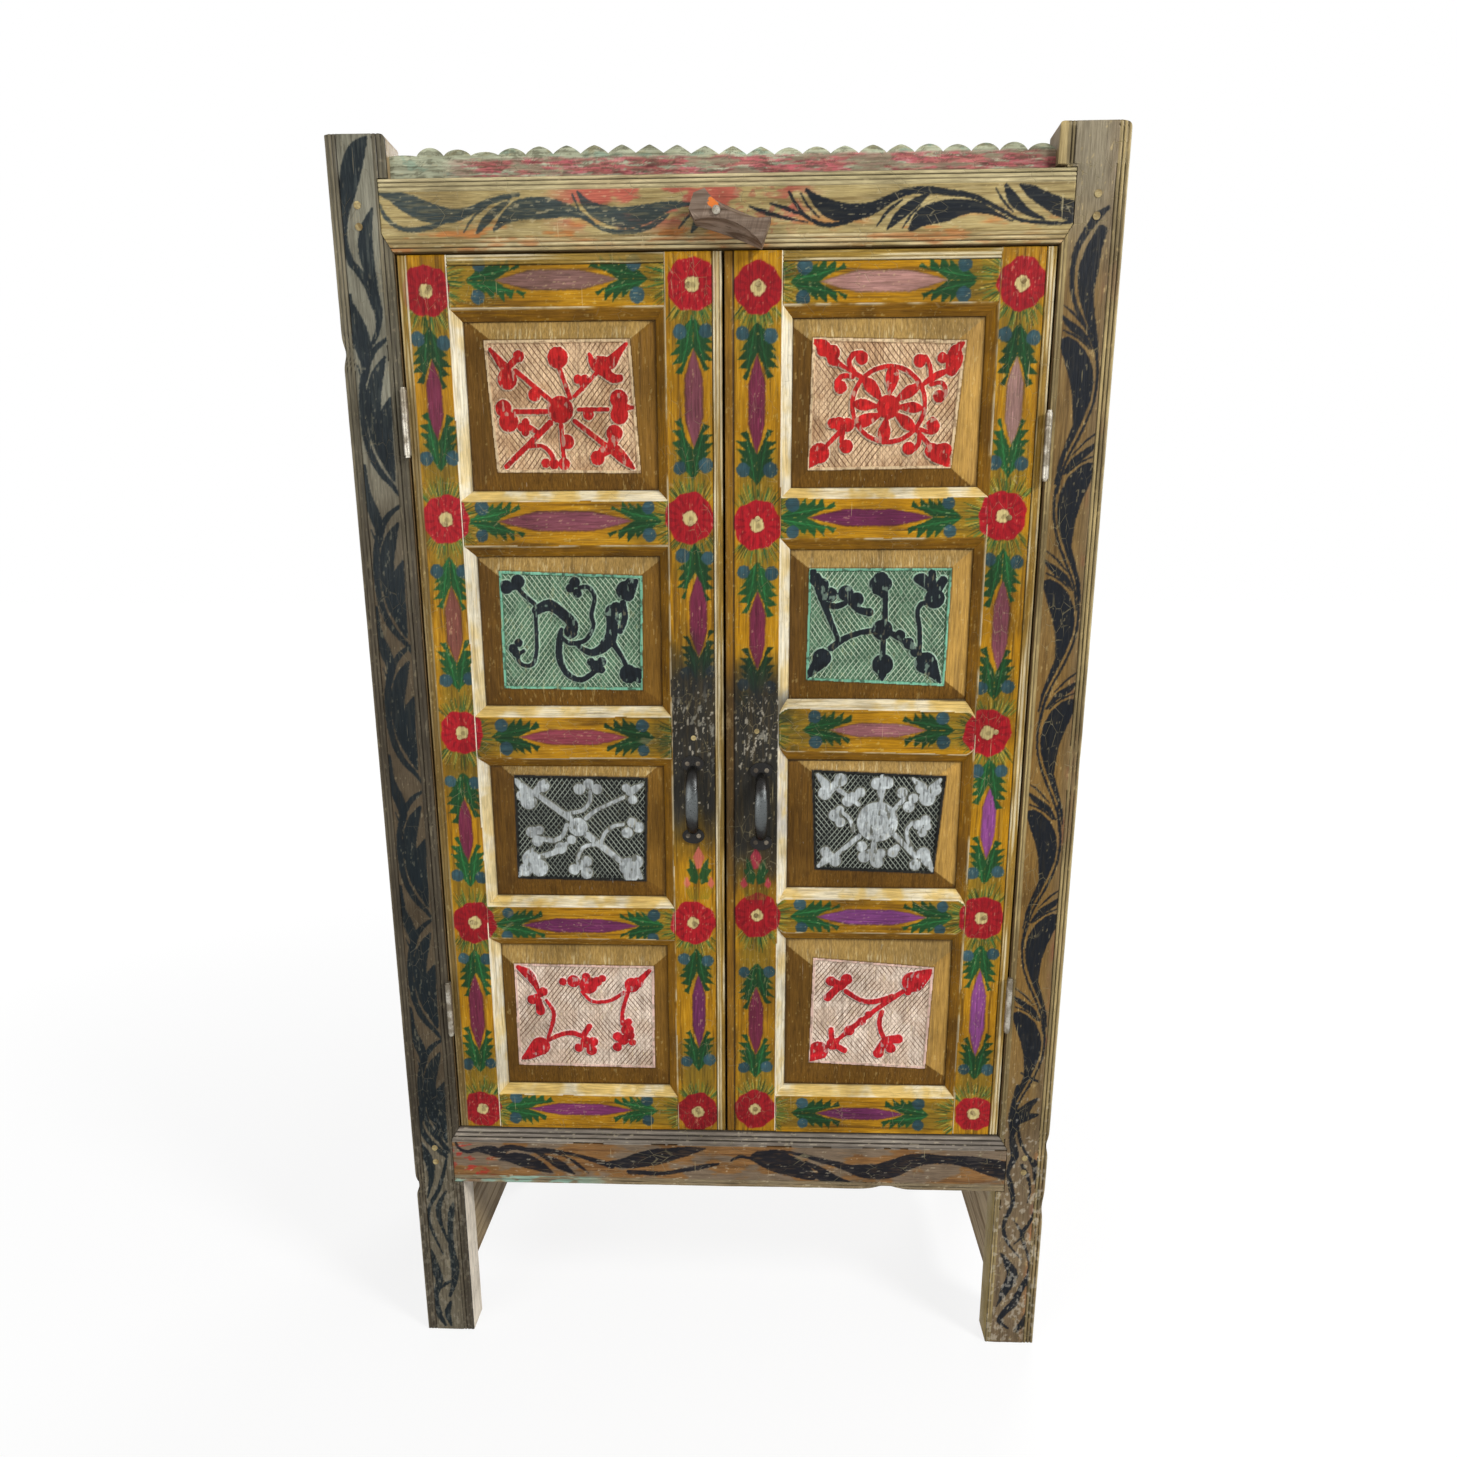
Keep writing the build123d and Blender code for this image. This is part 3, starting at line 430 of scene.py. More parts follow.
class Finish:
    """A material and the nodes that it is made of."""

    def __init__(self, name):
        self.material = bpy.data.materials.new(name)
        self.material.use_nodes = True
        self.tree = self.material.node_tree
        self.shader = next(n for n in self.tree.nodes if n.type == "BSDF_PRINCIPLED")
        self.place = self.node("ShaderNodeTexCoord").outputs["Object"]

    def node(self, kind, inputs=None, **settings):
        return new_node(self.tree, kind, inputs, **settings)

    def stretched(self, stretch, turn=(0, 0, 0)):
        """The place in the object, scaled on each axis and turned."""
        inputs = {"Vector": self.place, "Scale": stretch, "Rotation": turn}
        return self.node("ShaderNodeMapping", inputs).outputs["Vector"]

    def noise(self, scale, vector=None, detail=4.0, rough=0.55, warp=0.0):
        inputs = {"Vector": vector or self.place, "Scale": scale, "Detail": detail, "Roughness": rough,
                  "Distortion": warp}
        return self.node("ShaderNodeTexNoise", inputs).outputs["Fac"]

    def span(self, value, low, high, to_low=0.0, to_high=1.0, kind="SMOOTHSTEP"):
        """Carries a value from one span over to another one."""
        inputs = {"Value": value, "From Min": low, "From Max": high, "To Min": to_low, "To Max": to_high}
        return self.node("ShaderNodeMapRange", inputs, interpolation_type=kind).outputs["Result"]

    def sum(self, a, b, operation="ADD"):
        return self.node("ShaderNodeMath", {0: a, 1: b}, operation=operation).outputs[0]

    def times(self, a, b):
        return self.sum(a, b, "MULTIPLY")

    def mix(self, factor, a, b, blend="MIX"):
        """Mixes two colours; each is an output or a colour from rgb."""
        a, b = ((*to_linear(v), 1) if isinstance(v, np.ndarray) else v for v in (a, b))
        inputs = {0: factor, 6: a, 7: b}
        return self.node("ShaderNodeMix", inputs, data_type="RGBA", blend_type=blend).outputs[2]

    def bump(self, height, distance, below=None):
        inputs = {"Strength": 1.0, "Distance": distance, "Height": height}
        if below:
            inputs["Normal"] = below
        return self.node("ShaderNodeBump", inputs).outputs["Normal"]

    def finish(self, colour, roughness, normal, metal, specular):
        inputs = {"Base Color": colour, "Roughness": roughness, "Normal": normal, "Metallic": metal,
                  "Specular IOR Level": specular}
        for key, value in inputs.items():
            put(self.tree, self.shader.inputs[key], value)
        return self.material


def along_grain(grain, share=0.06):
    """The scale of a texture on each axis, smaller along the grain, where its features are drawn out."""
    return tuple(share if axis == grain else 1 for axis in "xyz")


def crack_lines(f, grain):
    """Cracks between plates of paint, in patches."""
    inputs = {"Vector": f.stretched(along_grain(grain, 0.45)), "Scale": 95}
    plates = f.node("ShaderNodeTexVoronoi", inputs, feature="DISTANCE_TO_EDGE")
    crack = f.span(plates.outputs["Distance"], 0.0, 0.035, 1.0, 0.0)
    return f.times(crack, f.span(f.noise(17, None, 3, 0.6), 0.5, 0.62))


def hatching(f):
    """Fine lines in two directions where a field is cut, each stronger in some regions."""
    cut = f.node("ShaderNodeAttribute", attribute_name="cut").outputs["Fac"]
    region = f.noise(16, None, 2, 0.5)
    ways = []
    for turn, low, high, weak, strong in ((0.66, 0.42, 0.52, 1.0, 0.4), (-0.66, 0.5, 0.6, 0.35, 1.0)):
        inputs = {"Vector": f.stretched((1, 1, 1), (0, turn, 0)), "Scale": 56, "Distortion": 3.0, "Detail": 2,
                  "Detail Scale": 0.3}
        wave = f.node("ShaderNodeTexWave", inputs, wave_type="BANDS", bands_direction="X")
        ways.append(f.times(f.span(wave.outputs["Fac"], 0.8, 0.97), f.span(region, low, high, weak, strong)))
    return f.times(f.sum(*ways, "MAXIMUM"), cut)


def painted(name, grain, flecks, fleck_colour, gloss, cracks, lines=None, line_strength=0.0):
    """Old oil paint over planed wood: the brushed colours, fine grain, chips, scratches, cracks and grime.

    lines is the colour of the hatching in a carved field."""
    f = Finish(name)
    colour = f.node("ShaderNodeVertexColor", layer_name="paint").outputs["Color"]
    along = f.stretched(along_grain(grain))
    fine = f.noise(620, along, 5, 0.62)
    broad = f.noise(150, along, 4, 0.6, 0.4)
    patch = f.noise(11, None, 4, 0.6)
    for texture, low, high, amount, dark in (
        (fine, 0.36, 0.66, 0.34, rgb(40, 30, 16)),
        (broad, 0.5, 0.72, 0.3, rgb(70, 52, 26)),
        (patch, 0.42, 0.7, 0.28, rgb(90, 72, 44)),
    ):
        colour = f.mix(f.span(texture, low, high, 0.0, amount), colour, dark, "MULTIPLY")
    chip = f.noise(300, f.stretched(along_grain(grain, 0.3)), 5, 0.68)
    worn = f.span(f.sum(chip, f.span(patch, 0.3, 0.75, -0.06, 0.05)), 0.69, 0.72)
    colour = f.mix(f.times(worn, flecks), colour, fleck_colour)
    scratch = f.noise(260, f.stretched((1, 1, 0.05), (0.0, 0.5, 0.0)), 2, 0.5)
    colour = f.mix(f.times(f.span(scratch, 0.74, 0.77), flecks * 0.7), colour, fleck_colour)
    height = f.sum(f.times(fine, 0.5), f.times(broad, 0.5))
    height = f.sum(height, f.times(worn, -0.5))
    if cracks:
        crack = crack_lines(f, grain)
        colour = f.mix(f.times(crack, cracks), colour, fleck_colour * 0.72)
        height = f.sum(height, f.times(crack, -0.5))
    normal = f.bump(height, 0.0008)
    if lines is not None:
        amount = hatching(f)
        colour = f.mix(f.times(amount, line_strength), colour, lines)
        normal = f.bump(f.times(amount, -1.0), 0.0009, normal)
    rough = f.span(f.sum(patch, fine), 0.7, 1.3, gloss - 0.08, gloss + 0.16)
    return f.finish(colour, rough, normal, 0.0, 0.13)


# Between two boards, in metres: the gap, and where a seam's shadow ends and where it is full
BOARD_GAP = 0.0004
SEAM_OUTER = 0.0016
SEAM_INNER = 0.0006


def plank_tones(f, node, axis, count):
    """A tone for each board of a node, and the seams between them; the grain starts anew on each board."""
    low, high = (corner["XYZ".index(axis)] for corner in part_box(node))
    pitch = (high - low + BOARD_GAP) / count
    place = f.node("ShaderNodeSeparateXYZ", {0: f.place}).outputs[axis]
    turn = f.times(f.sum(place, -low), 1 / pitch)
    number = {"W": f.sum(turn, 0.0, "FLOOR")}
    tone = f.node("ShaderNodeTexWhiteNoise", number, noise_dimensions="1D").outputs["Value"]
    seam = f.sum(f.sum(f.sum(turn, 0.0, "FRACT"), -0.5), 0.0, "ABSOLUTE")
    seam = f.span(seam, 0.5 - SEAM_OUTER / pitch, 0.5 - SEAM_INNER / pitch)
    from_middle = f.sum(f.sum(turn, -count / 2), 0.0, "ABSOLUTE")
    seam = f.times(seam, f.span(from_middle, count / 2 - 0.3, count / 2 - 0.2, 1.0, 0.0))
    moved = {0: f.place, 1: f.times(tone, 7.0)}
    f.place = f.node("ShaderNodeVectorMath", moved, operation="ADD").outputs["Vector"]
    return tone, seam


def bare_wood(name, grain, pale, dark, rough=0.62, chip=None, planks=None):
    """Aged unpainted wood with grain, pores and stains.

    planks gives the node, the axis and the number of its boards, and chip the place of a fresh chip."""
    f = Finish(name)
    if planks:
        tone, seam = plank_tones(f, *planks)
    along = f.stretched(along_grain(grain))
    ring = f.noise(60, along, 5, 0.6, 1.2)
    pore = f.noise(420, along, 3, 0.6)
    stain = f.noise(7, None, 4, 0.6)
    own = f.node("ShaderNodeNewGeometry").outputs["Random Per Island"]
    colour = f.mix(f.span(ring, 0.36, 0.66), pale, dark)
    colour = f.mix(f.span(pore, 0.55, 0.7, 0.0, 0.55), colour, dark * 0.45)
    colour = f.mix(f.span(stain, 0.45, 0.72, 0.0, 0.5), colour, dark * 0.7)
    colour = f.mix(f.span(own, 0.0, 1.0, 0.0, 0.45), colour, dark * 0.8)
    if planks:
        colour = f.mix(f.span(tone, 0.0, 1.0, 0.0, 0.6), colour, dark * 0.9)
        colour = f.mix(f.times(seam, 0.85), colour, rgb(26, 19, 12))
    height = f.sum(f.times(ring, 0.6), f.times(pore, -0.5))
    roughness = f.span(ring, 0.3, 0.7, rough - 0.06, rough + 0.12)
    if chip:
        away = f.node("ShaderNodeVectorMath", {0: f.place, 1: chip}, operation="DISTANCE").outputs["Value"]
        ragged = f.sum(away, f.span(f.noise(260), 0.2, 0.8, -0.003, 0.003))
        colour = f.mix(f.span(ragged, 0.0058, 0.0068, 1.0, 0.0), colour, rgb(206, 112, 48))
    return f.finish(colour, roughness, f.bump(height, 0.0007), 0.0, 0.16)


def old_metal(name, bright, dull, spots, rough, metal, rubbed_and_sheen_y=None, stretch=None):
    """Handled old metal, rubbed bright with darker pitting.

    rubbed_and_sheen_y runs from where it is dull to where it is bright, rubbed by hands and lighter with a
    painted highlight, and stretch draws its marks out."""
    f = Finish(name)
    along = f.stretched(stretch) if stretch else None
    rubbed = f.noise(55, along, 4, 0.6)
    pits = f.noise(700, along, 4, 0.6)
    patches = f.span(rubbed, 0.4, 0.62)
    # brighter towards the front: rubbed steel and a painted highlight
    if rubbed_and_sheen_y:
        place = f.node("ShaderNodeSeparateXYZ", {0: f.place}).outputs["Y"]
        place = f.sum(place, f.span(rubbed, 0.3, 0.7, -0.003, 0.003))
        patches = f.times(f.span(place, *rubbed_and_sheen_y[::-1], 1.0, 0.0), f.span(rubbed, 0.3, 0.6, 0.6, 1.0))
    colour = f.mix(patches, dull, bright)
    colour = f.mix(f.span(pits, 0.56, 0.7, 0.0, 0.8), colour, spots)
    roughness = f.span(f.sum(rubbed, pits), 0.8, 1.25, rough + 0.14, rough - 0.06)
    return f.finish(colour, roughness, f.bump(f.times(pits, -1.0), 0.0003), metal, 0.5)


# Each paint: the way of its grain, its flecks and their colour, its gloss and cracks, and the colour and
# strength of the hatching in a carved field
PAINTS = {
    "post_paint_dark": ("z", 0.35, rgb(150, 140, 112), 0.38, 0.35),
    "post_paint_tan": ("z", 0.4, rgb(196, 180, 130), 0.44, 0.4),
    "rail_paint": ("x", 0.45, rgb(200, 186, 142), 0.46, 0.4),
    "crest_paint": ("x", 0.45, rgb(190, 178, 146), 0.55, 0.3),
    "stile_ochre": ("z", 0.3, rgb(222, 204, 150), 0.42, 0.22),
    "rail_ochre": ("x", 0.3, rgb(222, 204, 150), 0.42, 0.22),
    "panel_warm": ("z", 0.3, rgb(226, 212, 186), 0.55, 0, rgb(96, 60, 36), 0.8),
    "panel_green": ("z", 0.3, rgb(190, 214, 190), 0.5, 0, rgb(204, 220, 192), 0.72),
    "panel_black": ("z", 0.2, rgb(176, 186, 184), 0.5, 0, rgb(184, 192, 176), 0.6),
}
FINISHES = {name: painted(name, *look) for name, look in PAINTS.items()}


# Front posts

# Scroll work. The places of a leaf or a bay are given across from the middle line and down from its head, and
# a stroke has its width after each place.
LEAF_BODY = (
    (-27, 0), (-19, -2), (-8, 3), (5, 15), (14, 33), (17, 52), (15, 72), (8, 93), (0, 113), (-8, 130),
    (-16, 150), (-21, 172), (-23, 172), (-20, 148), (-12, 122), (-5, 101), (-6, 87), (-8, 67), (-14, 45),
    (-21, 27), (-27, 11),
)
LEAF_STEMS = (
    ((13, -8, 2.4), (18, 18, 3.2), (21, 45, 3.4), (19, 72, 3.2), (12, 96, 3.2), (3, 117, 3.4),
     (-7, 138, 3), (-14, 158, 3), (-18, 182, 2.4)),
    ((-27, -24, 4), (-14, -13, 9), (0, -3, 8), (11, 12, 3)),
    ((-26, -37, 1.4), (-13, -27, 2.8), (2, -11, 1.5)),
    ((-25, -9, 1.6), (-7, -1, 3), (8, 12, 1.6)),
)
LOOP_STEMS = (
    ((19, 0, 3), (3, 12, 6), (-10, 32, 7), (-18, 60, 7), (-20, 95, 7), (-16, 130, 7), (-5, 157, 7),
     (12, 178, 5), (19, 190, 2)),
    ((14, 22, 3), (3, 43, 13), (-5, 72, 16), (-5, 105, 15), (1, 135, 12), (12, 162, 3)),
    ((17, 70, 2), (9, 92, 14), (5, 118, 19), (8, 145, 14), (14, 170, 3)),
    ((-24, -50, 4), (-24, -16, 9), (-16, 10, 12), (-11, 30, 10), (-14, 52, 4)),
    ((-22, 30, 1.2), (-14, 58, 2), (-12, 92, 1.4)),
)
# Strokes that are placed on the wardrobe itself
RIGHT_CROWN = (
    [(463, 1611, 5), (450, 1600, 10), (437, 1582, 8), (428, 1562, 7), (426, 1538, 6), (429, 1515, 5),
     (438, 1494, 5), (450, 1475, 4), (460, 1455, 4)],
    [(458, 1586, 13), (450, 1566, 19), (445, 1542, 24), (445, 1516, 18), (452, 1490, 12), (460, 1465, 6),
     (464, 1440, 3)],
)
RIGHT_FOOT = (
    [(432, 448, 6), (428, 420, 8), (429, 397, 15), (429, 373, 9), (430, 357, 10), (435, 333, 12),
     (427, 307, 6), (432, 283, 8), (437, 253, 7), (427, 220, 6), (427, 200, 6), (437, 177, 4),
     (457, 153, 1.5)],
    [(462, 428, 4), (450, 416, 12), (440, 402, 18), (432, 388, 14), (430, 370, 8)],
    [(464, 402, 4), (450, 398, 12), (438, 392, 12)],
    [(437, 380, 4), (442, 357, 5), (454, 333, 5), (467, 317, 12), (470, 297, 10), (474, 273, 5),
     (475, 250, 7), (467, 223, 5), (455, 197, 7), (462, 173, 4), (469, 150, 4), (469, 123, 6),
     (460, 97, 8)],
    [(447, 317, 6), (457, 297, 5), (462, 273, 3), (459, 253, 1.5)],
    [(440, 223, 1.5), (455, 197, 5), (444, 180, 1.5)],
    [(425, 163, 3), (437, 143, 12), (445, 123, 17), (435, 97, 14), (429, 80, 6), (424, 67, 2)],
    [(467, 120, 6), (457, 93, 10), (450, 73, 12), (437, 57, 10), (430, 40, 8), (444, 27, 3)],
    [(469, 113, 6), (475, 87, 8), (475, 63, 8), (469, 43, 10), (457, 23, 8)],
    [(436, 470, 3), (448, 462, 5), (462, 456, 3)],
)
LEFT_CROWN = (
    [(-432, 1700, 3), (-446, 1684, 22), (-455, 1662, 25), (-461, 1640, 20), (-467, 1615, 10),
     (-470, 1590, 9), (-465, 1566, 9), (-454, 1551, 10), (-443, 1536, 13), (-437, 1518, 14),
     (-434, 1500, 9), (-438, 1482, 6), (-448, 1465, 4)],
    [(-432, 1622, 3), (-441, 1600, 15), (-444, 1575, 19), (-440, 1550, 14), (-433, 1524, 3)],
    [(-471, 1522, 3), (-463, 1502, 11), (-456, 1480, 15), (-452, 1462, 8)],
)
LEFT_FOOT = (
    [(-431, 430, 4), (-451, 418, 8), (-465, 397, 10), (-470, 373, 9), (-465, 353, 9), (-455, 337, 10),
     (-441, 323, 10), (-433, 314, 6)],
    [(-435, 430, 4), (-450, 407, 11), (-451, 387, 12), (-445, 367, 8), (-440, 340, 7), (-431, 320, 3)],
    [(-478, 347, 4), (-468, 323, 14), (-459, 300, 14), (-460, 273, 8), (-468, 240, 2)],
    [(-433, 310, 4), (-441, 280, 6), (-451, 253, 7), (-465, 227, 6), (-470, 203, 7), (-463, 177, 5),
     (-451, 140, 2)],
    [(-438, 253, 3), (-451, 227, 9), (-451, 200, 7), (-441, 163, 3)],
    [(-421, 240, 3), (-431, 220, 10), (-436, 187, 9), (-436, 147, 10), (-433, 120, 14), (-436, 90, 10),
     (-445, 63, 4)],
    [(-480, 163, 4), (-471, 140, 12), (-465, 113, 15), (-460, 90, 12), (-468, 63, 9), (-465, 30, 10),
     (-456, 8, 5)],
    [(-435, 93, 3), (-448, 87, 6), (-462, 74, 3)],
    [(-444, 52, 4), (-451, 32, 10), (-447, 8, 4)],
)
TOP_LEFT = (
    [(-424, 1640, 4), (-408, 1636, 12), (-385, 1626, 22), (-362, 1617, 22), (-335, 1613, 16),
     (-310, 1618, 9), (-285, 1627, 5), (-258, 1633, 3)],
    [(-422, 1627, 3), (-417, 1614, 5), (-403, 1602, 5), (-383, 1598, 6), (-360, 1601, 6), (-337, 1609, 4),
     (-317, 1617, 4), (-297, 1626, 4), (-273, 1632, 5), (-250, 1635, 4)],
    [(-282, 1597, 4), (-269, 1608, 12), (-250, 1618, 22), (-223, 1620, 25), (-197, 1618, 17),
     (-177, 1613, 9), (-160, 1603, 4)],
    [(-320, 1594, 1.5), (-307, 1611, 3), (-290, 1622, 2)],
    [(-303, 1594, 4), (-292, 1607, 10), (-277, 1619, 9), (-262, 1628, 3)],
    [(-177, 1637, 3), (-167, 1624, 11), (-150, 1614, 18), (-123, 1608, 23), (-97, 1611, 22),
     (-77, 1617, 15), (-60, 1621, 9), (-38, 1622, 4)],
    [(-184, 1635, 2), (-174, 1614, 3), (-160, 1602, 4), (-140, 1594, 5), (-113, 1593, 6), (-87, 1599, 6),
     (-67, 1611, 4)],
    [(-54, 1596, 2), (-42, 1609, 3), (-30, 1618, 2)],
    [(-38, 1592, 4), (-31, 1602, 9), (-16, 1612, 5)],
)
TOP_RIGHT = (
    [(101, 1635, 4), (115, 1623, 13), (133, 1613, 21), (153, 1610, 20), (177, 1613, 15), (200, 1623, 10),
     (220, 1631, 8), (247, 1633, 8), (273, 1630, 7), (300, 1626, 6), (320, 1618, 5), (340, 1608, 5),
     (360, 1599, 4), (400, 1595, 4), (421, 1596, 3)],
    [(80, 1633, 3), (90, 1618, 4), (103, 1605, 5), (123, 1597, 5), (143, 1598, 5), (167, 1605, 3),
     (190, 1615, 3), (213, 1626, 3), (233, 1634, 2)],
    [(94, 1632, 2), (103, 1618, 3), (117, 1605, 2)],
    [(33, 1618, 2), (53, 1611, 6), (77, 1605, 4), (103, 1600, 2)],
    [(57, 1621, 2), (78, 1615, 5), (97, 1608, 2)],
    [(187, 1595, 1.5), (200, 1611, 4), (217, 1623, 2)],
    [(200, 1592, 3), (213, 1605, 11), (230, 1618, 11), (247, 1628, 4)],
    [(218, 1592, 1.5), (227, 1605, 3), (238, 1616, 1.5)],
    [(228, 1591, 6), (243, 1604, 20), (267, 1610, 24), (290, 1614, 17), (310, 1613, 12), (330, 1606, 5),
     (350, 1598, 2)],
    [(328, 1634, 1.5), (337, 1621, 3), (350, 1608, 2)],
    [(340, 1636, 5), (350, 1621, 13), (367, 1608, 8), (387, 1600, 3)],
    [(357, 1637, 3), (370, 1630, 13), (387, 1621, 17), (407, 1612, 21), (424, 1607, 22)],
)
BOTTOM_SCROLL = (
    [(-418, 343, 3), (-413, 330, 5), (-400, 323, 6), (-383, 327, 9), (-363, 326, 17), (-350, 322, 16),
     (-340, 330, 11), (-323, 332, 8), (-303, 328, 8), (-280, 327, 10), (-257, 325, 7), (-230, 320, 6),
     (-203, 312, 8), (-177, 303, 10)],
    [(-350, 310, 3), (-333, 314, 16), (-310, 309, 24), (-290, 301, 18), (-270, 290, 4)],
    [(-297, 327, 4), (-280, 317, 8), (-257, 303, 15), (-236, 289, 3)],
    [(-263, 323, 3), (-243, 315, 3), (-230, 305, 6), (-213, 290, 1.5)],
    [(-188, 307, 5), (-157, 308, 18), (-130, 315, 26), (-103, 321, 27), (-77, 327, 20), (-53, 332, 13),
     (-33, 336, 3)],
    [(-150, 293, 8), (-123, 292, 8), (-97, 292, 7), (-70, 297, 7), (-43, 303, 8), (-13, 310, 4)],
    [(7, 316, 3), (20, 323, 6), (36, 321, 6), (50, 322, 22), (70, 317, 34), (90, 311, 36), (110, 303, 30),
     (127, 293, 17), (134, 287, 4)],
    [(67, 333, 6), (93, 332, 5), (120, 326, 6), (143, 319, 8), (167, 313, 10), (187, 306, 13),
     (207, 302, 22), (233, 302, 27), (257, 309, 30), (277, 319, 25), (300, 324, 19), (333, 324, 14),
     (367, 321, 20), (393, 314, 27), (422, 307, 32)],
    [(133, 296, 4), (147, 289, 14), (163, 286, 11), (177, 283, 3)],
    [(120, 316, 4), (143, 303, 10), (167, 289, 9), (193, 281, 2)],
)


def scroll(canvas, strokes, colour, worn=0.25):
    """Paints strokes one after another."""
    for stroke in strokes:
        canvas.brush(stroke, colour, cover=0.96, streaky=worn, ragged=1.8)


def leaf(canvas, x, z, side, colour):
    """One comma leaf of the right post with its stem and hair lines; its head is on the left if side is 1."""
    canvas.patch([(x + side * v, z - u) for v, u in LEAF_BODY], colour, cover=0.97, streaky=0.12, ragged=1.4)
    scroll(canvas, [[(x + side * v, z - u, w) for v, u, w in stroke] for stroke in LEAF_STEMS], colour, 0.12)


def loop(canvas, x, z, colour):
    """One bay of the left post's softer scroll, from its cusp down."""
    scroll(canvas, [[(x + v, z - u, w * 1.25) for v, u, w in stroke] for stroke in LOOP_STEMS], colour, 0.22)


def rail_end(z, z_span, mitre_low):
    """How far a front rail laps over a post at each height: the moulded edge next to the doors is mitred."""
    past = z_span[0] + MITRE - z if mitre_low else z - z_span[1] + MITRE
    return POST_INNER + LAP - 0.6 * np.clip(past, 0, MITRE)


# Each post: its seed, how far its horn leans inwards, the radii of the horn's inner and outer corners, the
# worn places of its outer edge (height, half the length, depth), its beads, the strength of its chips, its
# paint and its colours
POSTS = {
    "left": {
        "seed": 11, "horn": 0, "corners": (7, 4), "notch_seed": 7,
        "notches": ((1458, 14, 4.0), (264, 12, 5.0)),
        "outer_bead": 4.8, "inner_beads": (3, 5.6), "chips": 0.35, "paint": "post_paint_dark",
        "vine": rgb(17, 27, 32), "line": rgb(140, 130, 104), "worn_edge": rgb(134, 124, 102),
        "inside": rgb(240, 228, 208), "outside": rgb(110, 96, 74),
    },
    "right": {
        "seed": 12, "horn": 10, "corners": (4, 10), "notch_seed": 8,
        "notches": ((352, 14, 3.5), (248, 20, 3.0), (930, 30, 1.2)),
        "outer_bead": 5.2, "inner_beads": (2, 4.2), "chips": 0.8, "paint": "post_paint_tan",
        "vine": rgb(17, 22, 30), "line": rgb(186, 164, 112), "worn_edge": rgb(200, 184, 142),
        "inside": rgb(150, 128, 66), "outside": rgb(114, 92, 60),
    },
}
OUTER_BEADS = 3
POST_BEAD_HEIGHT = 1.7


def rounded_corner(z, radius):
    """How far the corner of a horn is rounded in at each height."""
    rise = np.clip(z - TOP_Z + radius, 0, radius)
    return radius - np.sqrt(np.maximum(radius**2 - rise**2, 0))


def post_canvas(side):
    """The grid of a front post, laid out from its inner edge outwards and then put in its own place."""
    post = POSTS[side]

    def bend(x, z):
        share = (x - POST_INNER) / (HALF_WIDTH - POST_INNER)
        worn = clouds(z / 60, z * 0 + 3.3, post["notch_seed"]) * 0.8
        for height, long, deep in post["notches"]:
            worn = worn + deep * bump_at(z, height, long)
        inner_corner, outer_corner = (rounded_corner(z, radius) for radius in post["corners"])
        high = HALF_WIDTH - worn - outer_corner
        low = np.where(z > HORN_Z, POST_INNER - post["horn"], POST_INNER) + inner_corner
        return SIGN[side] * (low + share * (high - low)), z

    across = steps_between(POST_INNER, HALF_WIDTH, PITCH)
    heights = np.concatenate([steps_between(0, HORN_Z - 0.6, PITCH), steps_between(HORN_Z, TOP_Z, PITCH)])
    canvas = Canvas(across, heights, post["seed"], True, bend)
    if side == "left":
        canvas.xs = -across[::-1]
        for key in ("x", "z", "depth", "colour", "cut", "ragged", "along", "across"):
            setattr(canvas, key, getattr(canvas, key)[:, ::-1])
    return canvas


def left_post_ground(canvas):
    """Grey paint that grows brown below."""
    wood_ground(canvas, rgb(132, 129, 112), rgb(88, 84, 70), rgb(154, 150, 132))
    lower = ease(1420, 1100, canvas.z) * (0.5 + 0.5 * ease(300, 460, canvas.z))
    canvas.tint(rgb(80, 66, 48), 0.85 * lower)


def right_post_ground(canvas, outer):
    """Tan paint, golden in its middle and grey above, with red along its outer edge."""
    wood_ground(canvas, rgb(126, 100, 58), rgb(88, 66, 36), rgb(146, 122, 78))
    golden = ease(1300, 900, canvas.z) * ease(420, 560, canvas.z)
    canvas.tint(rgb(136, 100, 44), 0.5 * golden)
    canvas.tint(rgb(120, 104, 84), 0.75 * ease(430, 330, canvas.z))
    canvas.tint(rgb(140, 132, 112), 0.85 * ease(1500, 1650, canvas.z))
    canvas.tint(rgb(112, 96, 72), 0.6 * ease(36, 14, outer))
    red = ease(0.58, 0.72, clouds(canvas.x / 14, canvas.z / 40, 71)) * ease(26, 8, outer)
    canvas.tint(rgb(150, 66, 50), 0.55 * red)
    orange = ease(0.6, 0.75, clouds(canvas.x / 18, canvas.z / 55, 72)) * ease(700, 480, canvas.z)
    canvas.tint(rgb(190, 122, 66), 0.5 * orange * ease(30, 12, outer))


